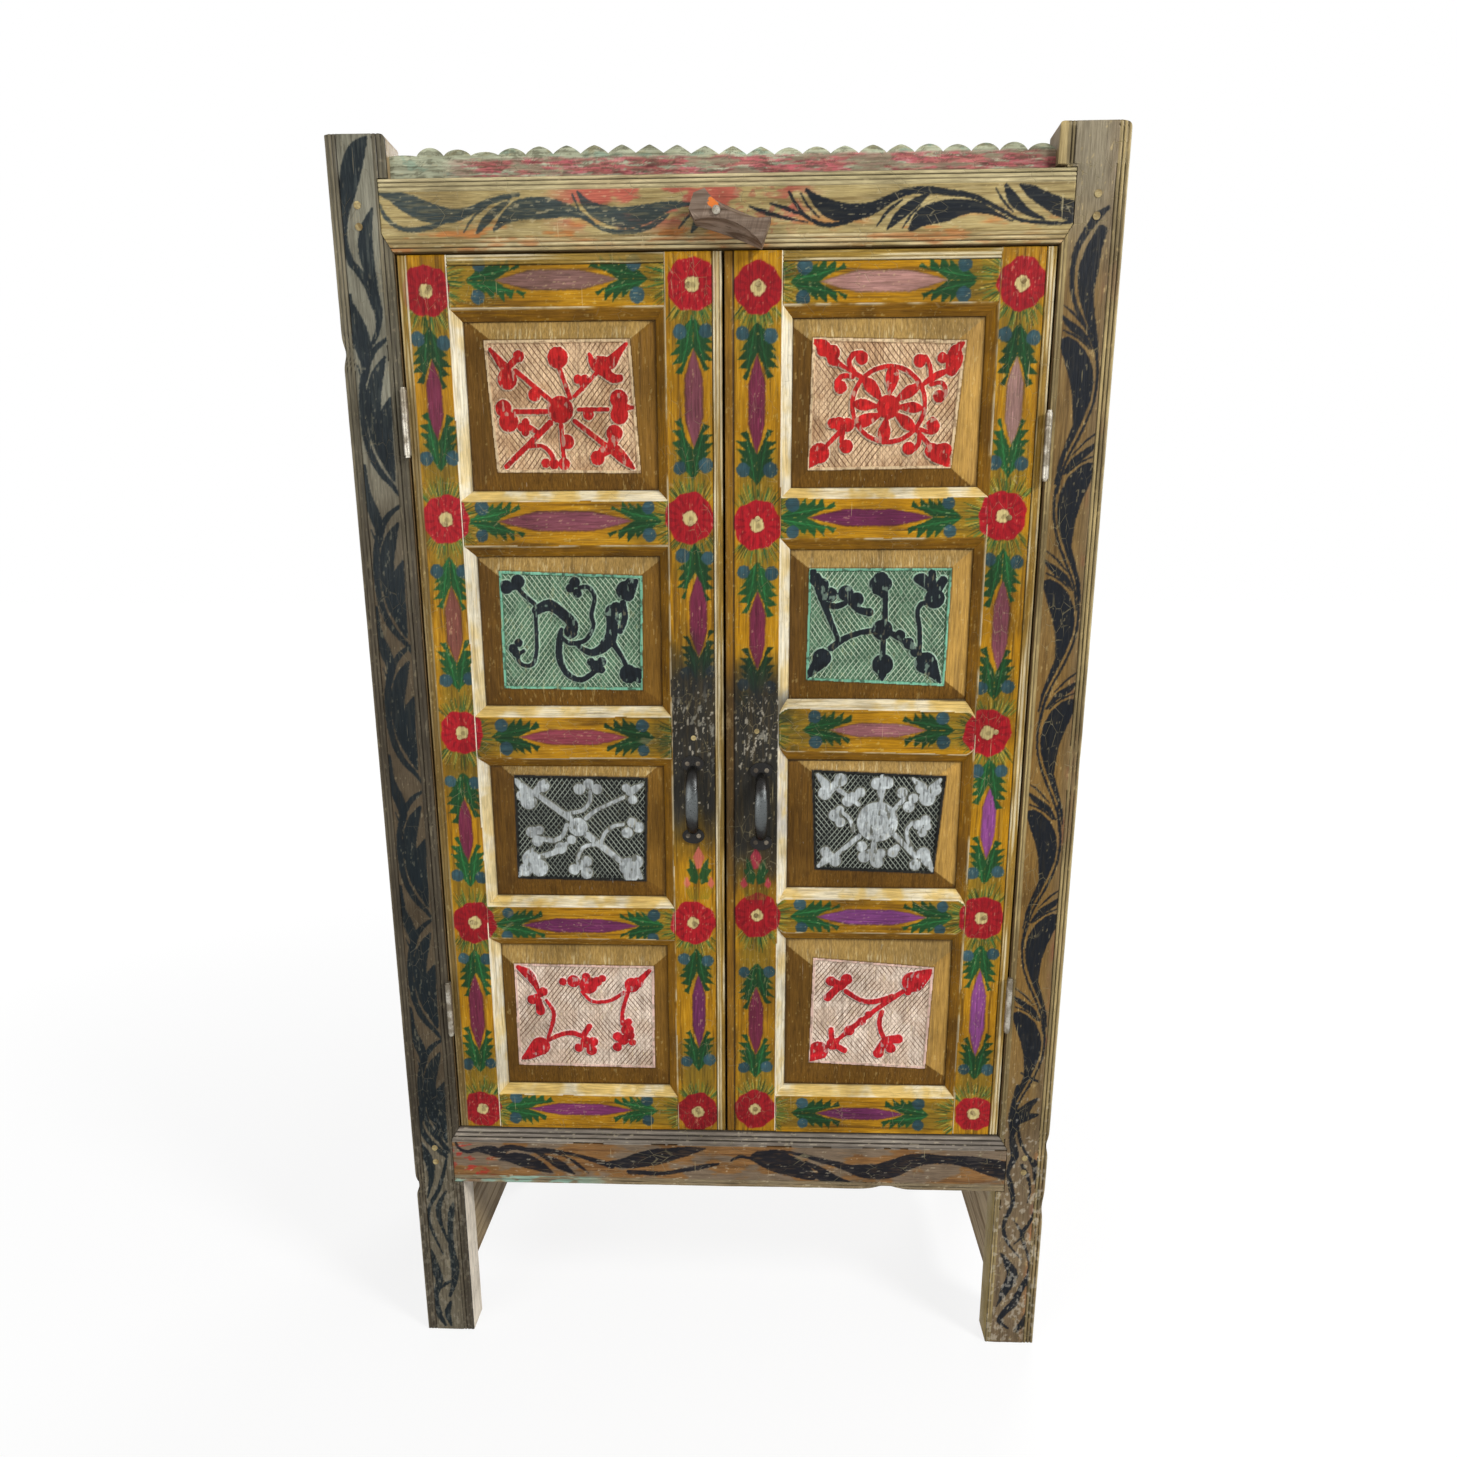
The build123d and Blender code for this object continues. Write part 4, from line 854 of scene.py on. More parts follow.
def make_post(side):
    """A front post: ground, scroll work, beads, worn edges, and the laps that the front rails cover."""
    post = POSTS[side]
    canvas = post_canvas(side)
    far = np.abs(canvas.x)
    outer = HALF_WIDTH - far
    near = far - POST_INNER
    centre = SIGN[side] * 447.0
    if side == "left":
        left_post_ground(canvas)
        scroll(canvas, LEFT_CROWN, post["vine"], 0.3)
        for cusp in (1475, 1273, 1092, 890, 700, 510):
            loop(canvas, centre + 2, cusp, post["vine"])
        scroll(canvas, LEFT_FOOT, post["vine"], 0.3)
    else:
        right_post_ground(canvas, outer)
        scroll(canvas, RIGHT_CROWN, post["vine"])
        for head, way in ((1467, 1), (1320, -1), (1176, 1), (1020, -1), (867, 1), (716, -1), (566, 1)):
            leaf(canvas, centre - 2, head, way, post["vine"])
        scroll(canvas, RIGHT_FOOT, post["vine"])
    outer_bead = post["outer_bead"]
    inner_beads, inner_bead = post["inner_beads"]
    wave = (beads(outer, OUTER_BEADS, outer_bead, POST_BEAD_HEIGHT)
            + beads(near, inner_beads, inner_bead, POST_BEAD_HEIGHT))
    canvas.depth += wave
    ridge = np.where((outer < OUTER_BEADS * outer_bead) | (near < inner_beads * inner_bead), 1.0, 0.0)
    canvas.tint(post["line"] * 0.66, 0.8 * ridge)
    # the bead crests lighter: worn paint and a painted highlight
    canvas.tint(post["line"], ridge * ease(0.9, 0.1, wave) * ease(0.3, 0.7, canvas.streaks(9, 120, 21)) * 0.8)
    if side == "left":
        canvas.tint(rgb(62, 54, 44), 0.55 * ridge * ease(1420, 1100, canvas.z))
    # painted shade in the grooves between the beads, with grime
    canvas.tint(rgb(30, 24, 18), ease(0.5, 1.5, wave) * 0.9)
    worn_edge = ease(3.4, 0.6, outer + 3.0 * (clouds(canvas.x / 8, canvas.z / 24, 33) - 0.5))
    canvas.tint(post["worn_edge"], 0.8 * worn_edge)
    chips = ease(0.68, 0.74, clouds(canvas.x / 5, canvas.z / 7, 34) + 0.1 * ease(430, 200, canvas.z))
    canvas.tint(rgb(196, 188, 170), 0.7 * chips * post["chips"] * ease(560, 380, canvas.z))
    wear(canvas, post["line"] * 1.1, 0.45)
    lap = np.zeros(canvas.x.shape, bool)
    for z_span, low in ((TOP_RAIL_Z, True), (BOTTOM_RAIL_Z, False)):
        lap |= (far < rail_end(canvas.z, z_span, low)) & (canvas.z > z_span[0]) & (canvas.z < z_span[1])
    canvas.depth = np.where(lap, 12.0, canvas.depth)
    hand_made(canvas, 0.4)
    end_wear(canvas, (canvas.x.min(), canvas.x.max()), (0, TOP_Z))

    def sides(x, z):
        """The inner side is bare behind the doors, and the horn has a side of its own colour."""
        bare = (z > BOTTOM_RAIL_Z[0] + 20) & (z < TOP_RAIL_Z[1] - 4)
        inner = np.where(bare, rgb(128, 104, 70), post["inside"])
        inner = np.where(z > TOP_RAIL_Z[1] - 4, rgb(158, 138, 104), inner)
        return np.where(np.abs(x) > HALF_WIDTH - 12, post["outside"], inner)

    board = closed_board(f"{side}_front_post_painted", canvas, FRONT_Y, POST_BACK, sides, rgb(120, 98, 66))
    dress(board, FINISHES[post["paint"]], "cabinet", post["paint"], f"{side}_front_post")


# Front rails and crest


def rail_canvas(z_span, seed, mitre_low, wavy=0.0):
    """The grid of a front rail with mitred ends; wavy says how uneven its lower edge is."""

    def bend(x, z):
        reach = rail_end(z, z_span, mitre_low)
        x = x / (POST_INNER + LAP) * reach
        if wavy:
            lift = wavy * clouds(x / 46, x * 0 + 1.7, seed + 3, 3) + 5 * bump_at(x, 245, 22)
            z = z + lift * (z_span[1] - z) / (z_span[1] - z_span[0])
        return x, z

    reach = POST_INNER + LAP
    return Canvas(steps_between(-reach, reach, PITCH), steps_between(*z_span, PITCH), seed, False, bend)


def place_front_rail(name, canvas, z_span, wall_colour, back_colour):
    """Closes a front rail and gives it its finish and its place."""
    end_wear(canvas, (-POST_INNER - LAP, POST_INNER + LAP), z_span)
    board = closed_board(f"{name}_painted", canvas, FRONT_Y, RAIL_BACK, wall_colour, back_colour)
    dress(board, FINISHES["rail_paint"], "cabinet", "rail_paint", name)


def make_top_rail():
    """The rail over the doors, with two separate scrolls and beads along both edges."""
    canvas = rail_canvas(TOP_RAIL_Z, 21, True)
    wood_ground(canvas, rgb(174, 155, 104), rgb(122, 102, 62), rgb(198, 182, 134))
    x, z = canvas.x, canvas.z
    red = ease(0.44, 0.6, clouds(x / 30, z / 10, 61))
    canvas.tint(rgb(184, 84, 74), 0.8 * red * ease(80, 20, np.abs(x + 50) - 100) * ease(1585, 1612, z))
    canvas.tint(rgb(196, 118, 60), 0.75 * ease(0.48, 0.66, clouds(x / 34, z / 9, 62)) * ease(1618, 1590, z))
    scroll(canvas, TOP_LEFT, rgb(54, 64, 64), 0.3)
    scroll(canvas, TOP_RIGHT, rgb(17, 23, 31), 0.12)
    middle = ease(0.52, 0.66, clouds(x / 12, z / 7, 63)) * ease(75, 30, np.abs(x - 25))
    canvas.tint(rgb(160, 88, 70), 0.6 * middle)
    upper = TOP_RAIL_Z[1] - z
    lower = z - TOP_RAIL_Z[0]
    wave = beads(upper, 3, 5.2, 1.8) + beads(lower, 3, 5.2, 1.8)
    canvas.depth += wave
    edge = (upper < 16) | (lower < 16)
    canvas.tint(rgb(156, 136, 92), 0.8 * edge)
    canvas.tint(rgb(194, 182, 140), 0.75 * (upper < 16))
    # the bead crests lighter: worn paint and a painted highlight
    crests = edge * ease(0.8, 0.1, wave) * ease(0.35, 0.7, canvas.streaks(7, 90, 22))
    canvas.tint(rgb(222, 206, 162), crests * 0.75)
    canvas.tint(rgb(190, 116, 66), (lower < 16) * 0.55 * ease(0.5, 0.68, clouds(x / 40, z / 8, 64)))
    # painted shade in the grooves between the beads, with grime
    canvas.tint(rgb(32, 24, 16), ease(0.6, 1.6, wave) * 0.9)
    wear(canvas, rgb(206, 190, 146), 0.5)
    hand_made(canvas, 0.4)
    place_front_rail("top_front_rail", canvas, TOP_RAIL_Z, rgb(120, 96, 60), rgb(110, 88, 58))


def make_bottom_rail():
    """The rail under the doors, with its sill, one long scroll and an uneven lower edge."""
    canvas = rail_canvas(BOTTOM_RAIL_Z, 22, False, 2.6)
    wood_ground(canvas, rgb(138, 99, 57), rgb(98, 67, 40), rgb(164, 122, 76))
    x, z = canvas.x, canvas.z
    grey = ease(0.46, 0.6, clouds(x / 40, z / 16, 65) + 0.12 * ease(-40, 380, x))
    canvas.tint(rgb(122, 108, 92), 0.85 * grey)
    red = 0.8 * ease(0.5, 0.6, clouds(x / 18, z / 8, 66)) * ease(45, 15, np.abs(x + 395))
    canvas.tint(rgb(176, 50, 40), red)
    scroll(canvas, BOTTOM_SCROLL, rgb(20, 20, 27), 0.3)
    upper = BOTTOM_RAIL_Z[1] - z
    lower = z - BOTTOM_RAIL_Z[0]
    sill = upper < 24
    wave = beads(upper, 3, 7.8, 3.0) + beads(lower, 2, 6.0, 1.6)
    canvas.depth += wave
    canvas.tint(rgb(126, 118, 108), 0.95 * sill)
    # the bead crests lighter: worn paint and a painted highlight
    crests = sill * ease(1.2, 0.2, wave) * ease(0.4, 0.7, canvas.streaks(6, 120, 23))
    canvas.tint(rgb(176, 166, 150), crests * 0.7)
    under = lower < 13
    canvas.tint(rgb(138, 124, 96), 0.85 * under)
    teal = ease(0.42, 0.56, clouds(x / 26, z / 5, 67)) * ease(-150, -250, x) * under
    canvas.tint(rgb(156, 196, 180), 0.8 * teal)
    # painted shade in the grooves between the beads, with grime
    canvas.tint(rgb(30, 24, 18), ease(0.7, 1.9, wave) * 0.85)
    wear(canvas, rgb(200, 188, 160), 0.6)
    hand_made(canvas, 0.5)
    place_front_rail("bottom_front_rail", canvas, BOTTOM_RAIL_Z, rgb(112, 100, 84), rgb(104, 88, 62))


# The height of a whole scallop, and how much higher the left part of the crest stands
SCALLOP = 9.0
CREST_LIFT = 4.5
# How tall each scallop is left, from 0 to 1, and how pointed
SCALLOPS = (
    (0.15, 0), (1, 0), (0.75, 0), (0.4, 0), (0.8, 0.2), (0.95, 0.3), (1, 0.6), (1, 0.7), (1, 0.8), (1, 1),
    (1, 1), (0.95, 1), (1, 0.9), (0.95, 0.9), (0.8, 0.3), (0.85, 0.2), (0.9, 0.6), (0.95, 0.5), (0.95, 0.5),
    (0.95, 0.1), (0.85, 0.2), (0.95, 0), (1, 0), (0.8, 0),
)


def make_crest():
    """The crest board with its worn scallops."""
    low, high = (v * 1000 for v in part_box("crest_board"))
    x_span = (low[0], high[0])
    z_span = (low[2], high[2])
    pitch = (x_span[1] - x_span[0]) / len(SCALLOPS)

    def bend(x, z):
        turn = (x - x_span[0]) / pitch
        which = np.clip(np.floor(turn), 0, len(SCALLOPS) - 1).astype(np.int64)
        tall, sharp = np.array(SCALLOPS)[which].transpose(2, 0, 1)
        across = 2 * (turn % 1) - 1
        # a shallow round arch and a peaked one, both 1 in the middle of a scallop and 0 at its ends
        rounded = 2.256 * np.sqrt(1 - 0.689 * across**2) - 1.256
        peaked = 1 - np.abs(across) ** 1.2
        rise = SCALLOP * tall * (rounded + (peaked - rounded) * sharp)
        share = (z - z_span[0]) / (z_span[1] - z_span[0])
        return x, z + (CREST_LIFT * ease(60, -120, x) - SCALLOP + rise) * share

    canvas = Canvas(steps_between(*x_span, PITCH), steps_between(*z_span, PITCH), 23, False, bend)
    wood_ground(canvas, rgb(180, 184, 156), rgb(118, 118, 96), rgb(208, 210, 184))
    x, z = canvas.x, canvas.z
    height = z - z_span[0]
    red = ease(24, 19.5, height + 5 * (clouds(x / 20, z / 9, 68) - 0.5)) * ease(-350, -290, x)
    canvas.tint(rgb(170, 86, 84), 0.8 * red * ease(0.34, 0.5, canvas.streaks(3, 22, 24)))
    canvas.tint(rgb(206, 104, 114), 0.65 * red * ease(0.5, 0.64, canvas.streaks(1.8, 14, 25)))
    canvas.tint(rgb(100, 50, 52), 0.55 * red * ease(0.55, 0.7, canvas.streaks(1.5, 18, 26)))
    canvas.tint(rgb(104, 146, 132), 0.35 * ease(0.62, 0.72, clouds(x / 16, z / 6, 86)) * (1 - red))
    canvas.tint(rgb(82, 80, 62), 0.5 * ease(0.54, 0.68, canvas.streaks(1.5, 12, 87)))
    canvas.tint(rgb(142, 138, 112), 0.75 * ease(0.54, 0.64, clouds(x / 36, z / 8, 69)) * red)
    # painted shade along the foot of the crest, in the corner over the top rail
    canvas.tint(rgb(60, 48, 36), 0.7 * ease(3, 0, height))
    top = 22 - height
    canvas.tint(rgb(146, 140, 104), 0.6 * ease(0.5, 0.7, clouds(x / 10, z / 5, 70)) * ease(-2, -6, top))
    wear(canvas, rgb(186, 172, 132), 0.45)
    hand_made(canvas, 0.4)
    board = closed_board("crest_board_painted", canvas, low[1], high[1], rgb(120, 108, 78), rgb(108, 90, 60))
    dress(board, FINISHES["crest_paint"], "cabinet", "crest_paint", "crest_board")


# Doors. Places are measured across from the middle and up from the floor: the faces of the rails from the
# bottom up, the faces of the stiles, and the rosettes with their radius.

RAIL_FACES = {
    "left": ((365.5, 420.0), (671.8, 719.8), (937.9, 994.9), (1222.0, 1278.0), (1510.0, 1571.0)),
    "right": ((365.5, 425.0), (684.9, 734.9), (947.0, 1005.0), (1229.9, 1279.9), (1510.0, 1571.0)),
}
RAIL_NAMES = ("bottom_rail", "rail_4", "rail_3", "rail_2", "top_rail")
STILES = {
    ("left", "outer"): (346.0, 407.6),
    ("left", "inner"): (1.5, 73.0),
    ("right", "outer"): (341.0, 407.6),
    ("right", "inner"): (1.5, 73.0),
}
ROSETTES = {
    ("left", "outer"): ((-373, 1530, 30), (-367, 1256, 31), (-365, 973, 30), (-365, 695, 31),
                        (-372, 395, 29)),
    ("left", "inner"): ((-39, 1534, 31), (-45, 1256, 32), (-47, 698, 32), (-43, 396, 31)),
    ("right", "inner"): ((43, 1529, 30), (43, 1247, 31), (45, 710, 33), (43, 402, 31)),
    ("right", "outer"): ((367, 1530, 30), (360, 1257, 31), (357, 975, 32), (364, 709, 32), (370, 400, 28)),
}
WINE = rgb(112, 40, 66)
MAUVE = rgb(128, 70, 84)
PURPLE = rgb(122, 50, 100)
VIOLET = rgb(140, 72, 140)
PALE_MAUVE = rgb(158, 122, 116)
ROSE_BROWN = rgb(124, 72, 62)

# Each spindle: from and to along its board, its place across, half its width and its colour; None where soot
# hides it
SPINDLES = {
    ("left", "outer"): (
        (1452, 1352, -371, 10, WINE),
        (1172, 1066, -366, 11, ROSE_BROWN),
        (882, 785, -369, 10, WINE),
        (618, 492, -371, 11, WINE),
    ),
    ("left", "inner"): (
        (1462, 1340, -38, 12, MAUVE),
        (1188, 1075, -35, 12, WINE),
        None,
        (622, 500, -40, 10, PURPLE * 0.85),
    ),
    ("right", "inner"): (
        (1455, 1333, 42, 11, WINE),
        (1165, 1058, 44, 11, WINE),
        None,
        (602, 490, 44, 11, WINE),
    ),
    ("right", "outer"): (
        (1450, 1340, 366, 11, PALE_MAUVE),
        (1180, 1055, 366, 11, MAUVE),
        (903, 795, 366, 10, VIOLET),
        (633, 492, 367, 11, VIOLET),
    ),
}
RAIL_SPINDLES = {
    "left": (
        (-302, -140, 397, 10, PURPLE),
        (-298, -124, 692, 11, PURPLE * 0.92),
        (-287, -133, 967, 11, rgb(138, 60, 74)),
        (-300, -118, 1253, 13, MAUVE),
        (-287, -130, 1541, 12, rgb(128, 94, 88)),
    ),
    "right": (
        (133, 268, 397, 10, PURPLE * 0.92),
        (128, 288, 709, 12, VIOLET * 0.92),
        (142, 276, 978, 10, rgb(150, 96, 102)),
        (108, 272, 1256, 11, rgb(104, 40, 76)),
        (118, 278, 1535, 13, rgb(172, 128, 120)),
    ),
}


def rosette(canvas, x, z, radius, seed):
    """A crimson flower with a cream middle."""
    picks = np.random.default_rng(seed)
    at = canvas.near_disc(x, z, radius)
    dx = canvas.x[at] - x
    dz = canvas.z[at] - z
    away = np.hypot(dx, dz)
    turn = np.arctan2(dz, dx)
    lobes = 0.9 * np.cos(turn * 9 + picks.uniform(0, 6)) + 1.1 * np.cos(turn * 4 + picks.uniform(0, 6))
    tone = CRIMSON * picks.uniform(0.9, 1.12)
    canvas.lay(at, away - radius - lobes, np.clip(tone, 0, 1), cover=0.97)
    dashes = np.cos(turn * 15 + 3 * clouds(dx / 9, dz / 9, seed)) > 0.35
    band = ease(0.45, 0.55, away / radius) * ease(0.98, 0.8, away / radius)
    canvas.tint(CRIMSON_DARK, 0.4 * band * dashes, at)
    light = ease(0.6, 0.8, clouds(dx / 7, dz / 7, seed + 1)) * (away < radius)
    canvas.tint(rgb(190, 36, 42), 0.4 * light, at)
    middle = picks.uniform(8.4, 9.6)
    canvas.lay(at, away - middle - 1.2, CRIMSON_DARK, cover=0.7)
    canvas.lay(at, away - middle - 0.4 * lobes, CENTRE, cover=0.95)
    canvas.lay(at, np.hypot(dx - 1.5, dz + 1) - 3.4, rgb(120, 104, 66), cover=0.5)


BRISTLE_TONES = (BRISTLE, LEAF, rgb(178, 158, 66), LEAF_PALE, rgb(74, 66, 24))
BRISTLES = 64
TEETH = 5


def spray(canvas, x, z, way, start, half, seed, dull=1.0):
    """Bristles, two serrated fronds and two berries between a rosette and the tip of a spindle.

    The rosette is at x, z, and the tip of the spindle, half as wide as half, lies in the direction way at the
    distance start."""
    picks = np.random.default_rng(seed)
    ux, uz = way
    green = LEAF * dull * picks.uniform(0.9, 1.2)

    def place(u, v):
        return (x + ux * u - uz * v, z + uz * u + ux * v)

    olive = [place(26, -24), place(start + 6, -24), place(start + 6, 24), place(26, 24)]
    canvas.patch(olive, OLIVE, cover=0.5, soft=14, ragged=8)
    for n in range(BRISTLES):
        angle = picks.uniform(-0.8, 0.8)
        first = picks.uniform(26, 36)
        last = first + picks.uniform(9, 24) * (1 - 0.3 * abs(angle))
        hair = [(*place(reach * math.cos(angle), reach * math.sin(angle)), width)
                for reach, width in ((first, 1.3), (last, 0.7))]
        canvas.brush(hair, BRISTLE_TONES[n % 5] * dull, cover=0.85, ragged=0.3, soft=1.0)
    for side in (-1, 1):
        shade = np.clip(green * picks.uniform(0.9, 1.15), 0, 1)
        reach = start + picks.uniform(28, 40)
        widest = 17 + picks.uniform(0, 4)
        base = start - 36
        frond = [(base, 0), (start, 0), (start + 16, half * 0.72), (reach, half + 2)]
        for n in range(TEETH):
            share = (n + 0.5) / TEETH
            u = reach - 8 - share * (reach - base - 14)
            wide = widest * math.sin(math.pi * (0.2 + 0.68 * share)) + 4
            frond.append((u + 11 + picks.uniform(-2, 2), wide + picks.uniform(1, 4)))
            frond.append((u, wide * 0.66))
        canvas.patch([place(u, side * v) for u, v in frond], shade, cover=0.95, ragged=2.2)
        vein = ((base + 4, 3, 1.2), (start - 2, 8, 1.4), (reach - 12, half + 2, 0.9))
        vein = [(*place(u, side * v), width) for u, v, width in vein]
        canvas.brush(vein, np.clip(shade * 1.9 + 0.03, 0, 1), cover=0.55, ragged=0.5)
        for n in range(4):
            u = base + 8 + n * 9
            rib = [(*place(u, side * 5), 1.0), (*place(u + 9, side * (11 + 2 * (n % 2))), 0.8)]
            canvas.brush(rib, np.clip(shade * 1.8 + 0.02, 0, 1), cover=0.4, ragged=0.5)
    for side in (-1, 1):
        u = start - 20 + picks.uniform(-3, 3)
        v = side * (17 + picks.uniform(-1, 2))
        bx, bz = place(u, v)
        shade = (BERRY + (BERRY_PALE - BERRY) * picks.uniform(0, 0.5)) * (0.6 + 0.4 * dull)
        canvas.disc(bx, bz, picks.uniform(8.2, 9.6), shade, cover=0.95, ragged=2.0)
        canvas.disc(bx - 2.2, bz + 2.6, 3.6, np.clip(shade * 1.25, 0, 1), cover=0.45, soft=3)


def spindle(canvas, start, end, across, half, colour, upright, seed):
    """A long lozenge with tapered ends and hair lines."""
    picks = np.random.default_rng(seed)
    length = end - start
    colour = np.clip(colour, 0, 1)

    def place(share, v):
        u = start + length * share
        return (across + v, u) if upright else (u, across + v)

    def lozenge(belly):
        return ((0, 0), (0.16, half * 0.55), (0.3, half), (0.68, belly), (0.84, half * 0.55), (1, 0),
                (0.86, -half * 0.5), (0.7, -half), (0.3, -half), (0.14, -half * 0.5))

    outline = [place(share, v) for share, v in lozenge(half * picks.uniform(0.9, 1.05))]
    canvas.patch(outline, colour * 0.7, cover=0.8, soft=1.6)
    inner = [place(0.5 + (share - 0.5) * 0.97, v * 0.86) for share, v in lozenge(half)]
    canvas.patch(inner, colour, cover=0.9, streaky=0.15)
    for n in range(9):
        share = picks.uniform(0.12, 0.7)
        v = picks.uniform(-0.7, 0.7) * half
        a = (*place(share, v), 0.8)
        b = (*place(share + picks.uniform(0.06, 0.2), v + picks.uniform(-1, 1)), 0.5)
        tone = colour * 0.55 if n % 2 else np.clip(colour * 1.35 + 0.05, 0, 1)
        canvas.brush([a, b], tone, cover=0.45, ragged=0.3)


def near_rosettes(x_span, z_span):
    """The rosettes that reach onto a board, with a seed each."""
    found = []
    for n, group in enumerate(ROSETTES.values()):
        for k, (x, z, radius) in enumerate(group):
            if x_span[0] - radius < x < x_span[1] + radius and z_span[0] - radius < z < z_span[1] + radius:
                found.append((x, z, radius, 100 + 10 * n + k))
    return found


def soot(canvas):
    """Hand grime round the handles, over the paint of the meeting stiles."""
    x, z = canvas.x, canvas.z
    low = np.where(x < 0, 820, 770)
    high = np.where(x < 0, 1085, 1062)
    uneven = 60 * (clouds(x / 22, z / 46, 81) - 0.5)
    amount = ease(low - 50, low + 60, z + uneven) * ease(high + 30, high - 45, z + uneven)
    amount = amount * ease(96, 70, np.abs(x))
    canvas.tint(SOOT, 0.94 * amount)
    canvas.tint(rgb(76, 64, 42), 0.5 * amount * ease(0.5, 0.72, canvas.streaks(4, 50, 82)))
    chips = clouds(x / 3.0, z / 7.0, 83)
    dense = ease(900, 960, z) * ease(1050, 1000, z)
    canvas.tint(rgb(176, 168, 150), 0.85 * ease(0.77, 0.81, chips + 0.1 * dense) * amount)
    flakes = clouds(x / 9.0, z / 17.0, 88) + 0.5 * (clouds(x / 2.5, z / 6.0, 89) - 0.5)
    canvas.tint(rgb(150, 146, 132), 0.75 * ease(0.74, 0.8, flakes + 0.05 * dense) * dense * amount)


def posy(canvas, side):
    """The small flower under the soot: a bud, two leaves, two outer buds and bristles."""
    centre = {"left": -38, "right": 43}[side]
    bud, outer_bud = (PINK, PINK) if side == "left" else (rgb(170, 50, 70), rgb(176, 56, 74))

    def shape(way, outline, colour, **how):
        canvas.patch([(centre + way * u, z) for u, z in outline], colour, **how)

    shape(1, ((0, 812), (8, 796), (3, 780), (-4, 779), (-8, 797)), bud, cover=0.85)
    for way in (-1, 1):
        frond = ((0, 768), (6, 786), (14, 796), (13, 780), (18, 778), (12, 766), (14, 760), (3, 756))
        shape(way, frond, LEAF * 1.1, cover=0.9)
        shape(way, ((17, 768), (22, 758), (18, 749), (12, 756)), outer_bud, cover=0.85)
        for n in range(7):
            lean = way * (3 + 3 * n)
            hair = [(centre + lean * 0.6, 734, 1.2), (centre + lean, 752, 0.7)]
            canvas.brush(hair, BRISTLE, cover=0.7, ragged=0.3)


def bevel_paint_and_light(canvas, ramp, facing, seed):
    """The colour of a bevel, with light and shade painted in: ramp runs from 0 at the face to 1 at its foot,
    and facing is where it looks.
    """
    on = ramp > 0
    patchy = clouds(canvas.x / 30, canvas.z / 30, canvas.seed + seed)
    # bevels that face right and up are painted pale, worn paint with a painted highlight, and those that face
    # left and down brown, as painted shade
    if facing in ("right", "up"):
        first, second, amount = CREAM, CREAM_YELLOW, 0.55
        if facing == "up":
            first, second, amount = CREAM_YELLOW, CREAM, 0.8
        canvas.tint(first, on * 0.97)
        canvas.tint(second, on * amount * ease(0.4, 0.66, patchy))
        canvas.tint(rgb(176, 140, 72), on * 0.35 * ease(0.5, 0.8, canvas.streaks(2.4, 40, seed)))
    else:
        canvas.tint(BEVEL_BROWN, on * 0.95)
        canvas.tint(rgb(104, 72, 22), on * 0.6 * ease(0.45, 0.75, patchy))
        canvas.tint(OCHRE, on * 0.5 * ease(0.5, 0.8, canvas.streaks(2.4, 40, seed)))
    # painted shade and a dark joint at the foot, where the panel goes under the bevel
    canvas.tint(JOINT_AND_SHADE, on * 0.75 * ease(0.9, 1.0, ramp))
    # a pale line along the arris: worn paint, lighter as a painted highlight too
    canvas.tint(CREAM, 0.75 * ease(0.13, 0.03, np.abs(ramp - 0.03)) * on * ease(0.3, 0.55, patchy))


def door_beads(canvas, edge, colour, bright, dark=0.0):
    """Beads along an edge of a door: how light their crests are, worn and with a painted highlight, and how
    much darker brown the beads are.
    """
    wave = beads(edge, DOOR_BEADS, BEAD_PITCH, 1.5)
    canvas.depth += wave
    ridge = edge < DOOR_BEADS * BEAD_PITCH
    canvas.tint(colour, 0.8 * ridge)
    canvas.tint(rgb(104, 84, 46), 0.75 * ridge * dark)
    # the crests lighter: worn paint and a painted highlight
    canvas.tint(CREAM, bright * ridge * ease(0.7, 0.1, wave) * ease(0.4, 0.62, canvas.streaks(5, 150, 26)))
    # painted shade in the grooves between the beads, with grime
    canvas.tint(JOINT_AND_SHADE, ease(0.6, 1.4, wave) * 0.85)


def groove_edge(canvas, ramp, edge):
    """The right door's meeting edge: bare beside the handle, sooty above it, and grooved, not beaded."""
    x, z = canvas.x, canvas.z
    worn = ease(0.35, 0.6, clouds(x / 9, z / 26, 84)) * ease(800, 860, z) * ease(1000, 930, z) * (ramp > 0)
    canvas.tint(rgb(206, 200, 194), 0.8 * worn)
    canvas.tint(SOOT, 0.6 * (ramp > 0) * ease(940, 990, z) * ease(1040, 1010, z))
    groove = 1.6 * bump_at(edge, 11, 1.2)
    canvas.depth += groove
    canvas.tint(rgb(112, 78, 28), 0.6 * (edge < 11))
    # painted shade in the groove
    canvas.tint(JOINT_AND_SHADE, ease(0.4, 1.2, groove) * 0.85)


def stile_flowers(canvas, side, which, x_span):
    """The spindles of a stile with the sprays at their ends, and the rosettes between them."""
    seed = canvas.seed
    blooms = ROSETTES[(side, which)]
    for index, found in enumerate(SPINDLES[(side, which)]):
        if found is None:
            continue
        start, end, across, half, colour = found
        dull = 0.8 if (side, which, index) == ("left", "inner", 1) else 1.0
        spindle(canvas, start, end, across, half, colour, True, seed * 7 + index)
        x, z = [bloom[:2] for bloom in blooms if bloom[1] > start][-1]
        spray(canvas, x * 0.4 + across * 0.6, z, (0, -1), z - start, half, seed * 9 + index, dull)
        if (which, index) == ("inner", 1):
            # the rosette below this spindle is lost under the soot
            spray(canvas, across, end - 72, (0, 1), 72, half, seed * 11 + index, 0.6)
        else:
            x, z = [bloom[:2] for bloom in blooms if bloom[1] < end][0]
            spray(canvas, x * 0.4 + across * 0.6, z, (0, 1), end - z, half, seed * 11 + index, dull)
    for bloom in near_rosettes(x_span, DOOR_Z):
        rosette(canvas, *bloom)


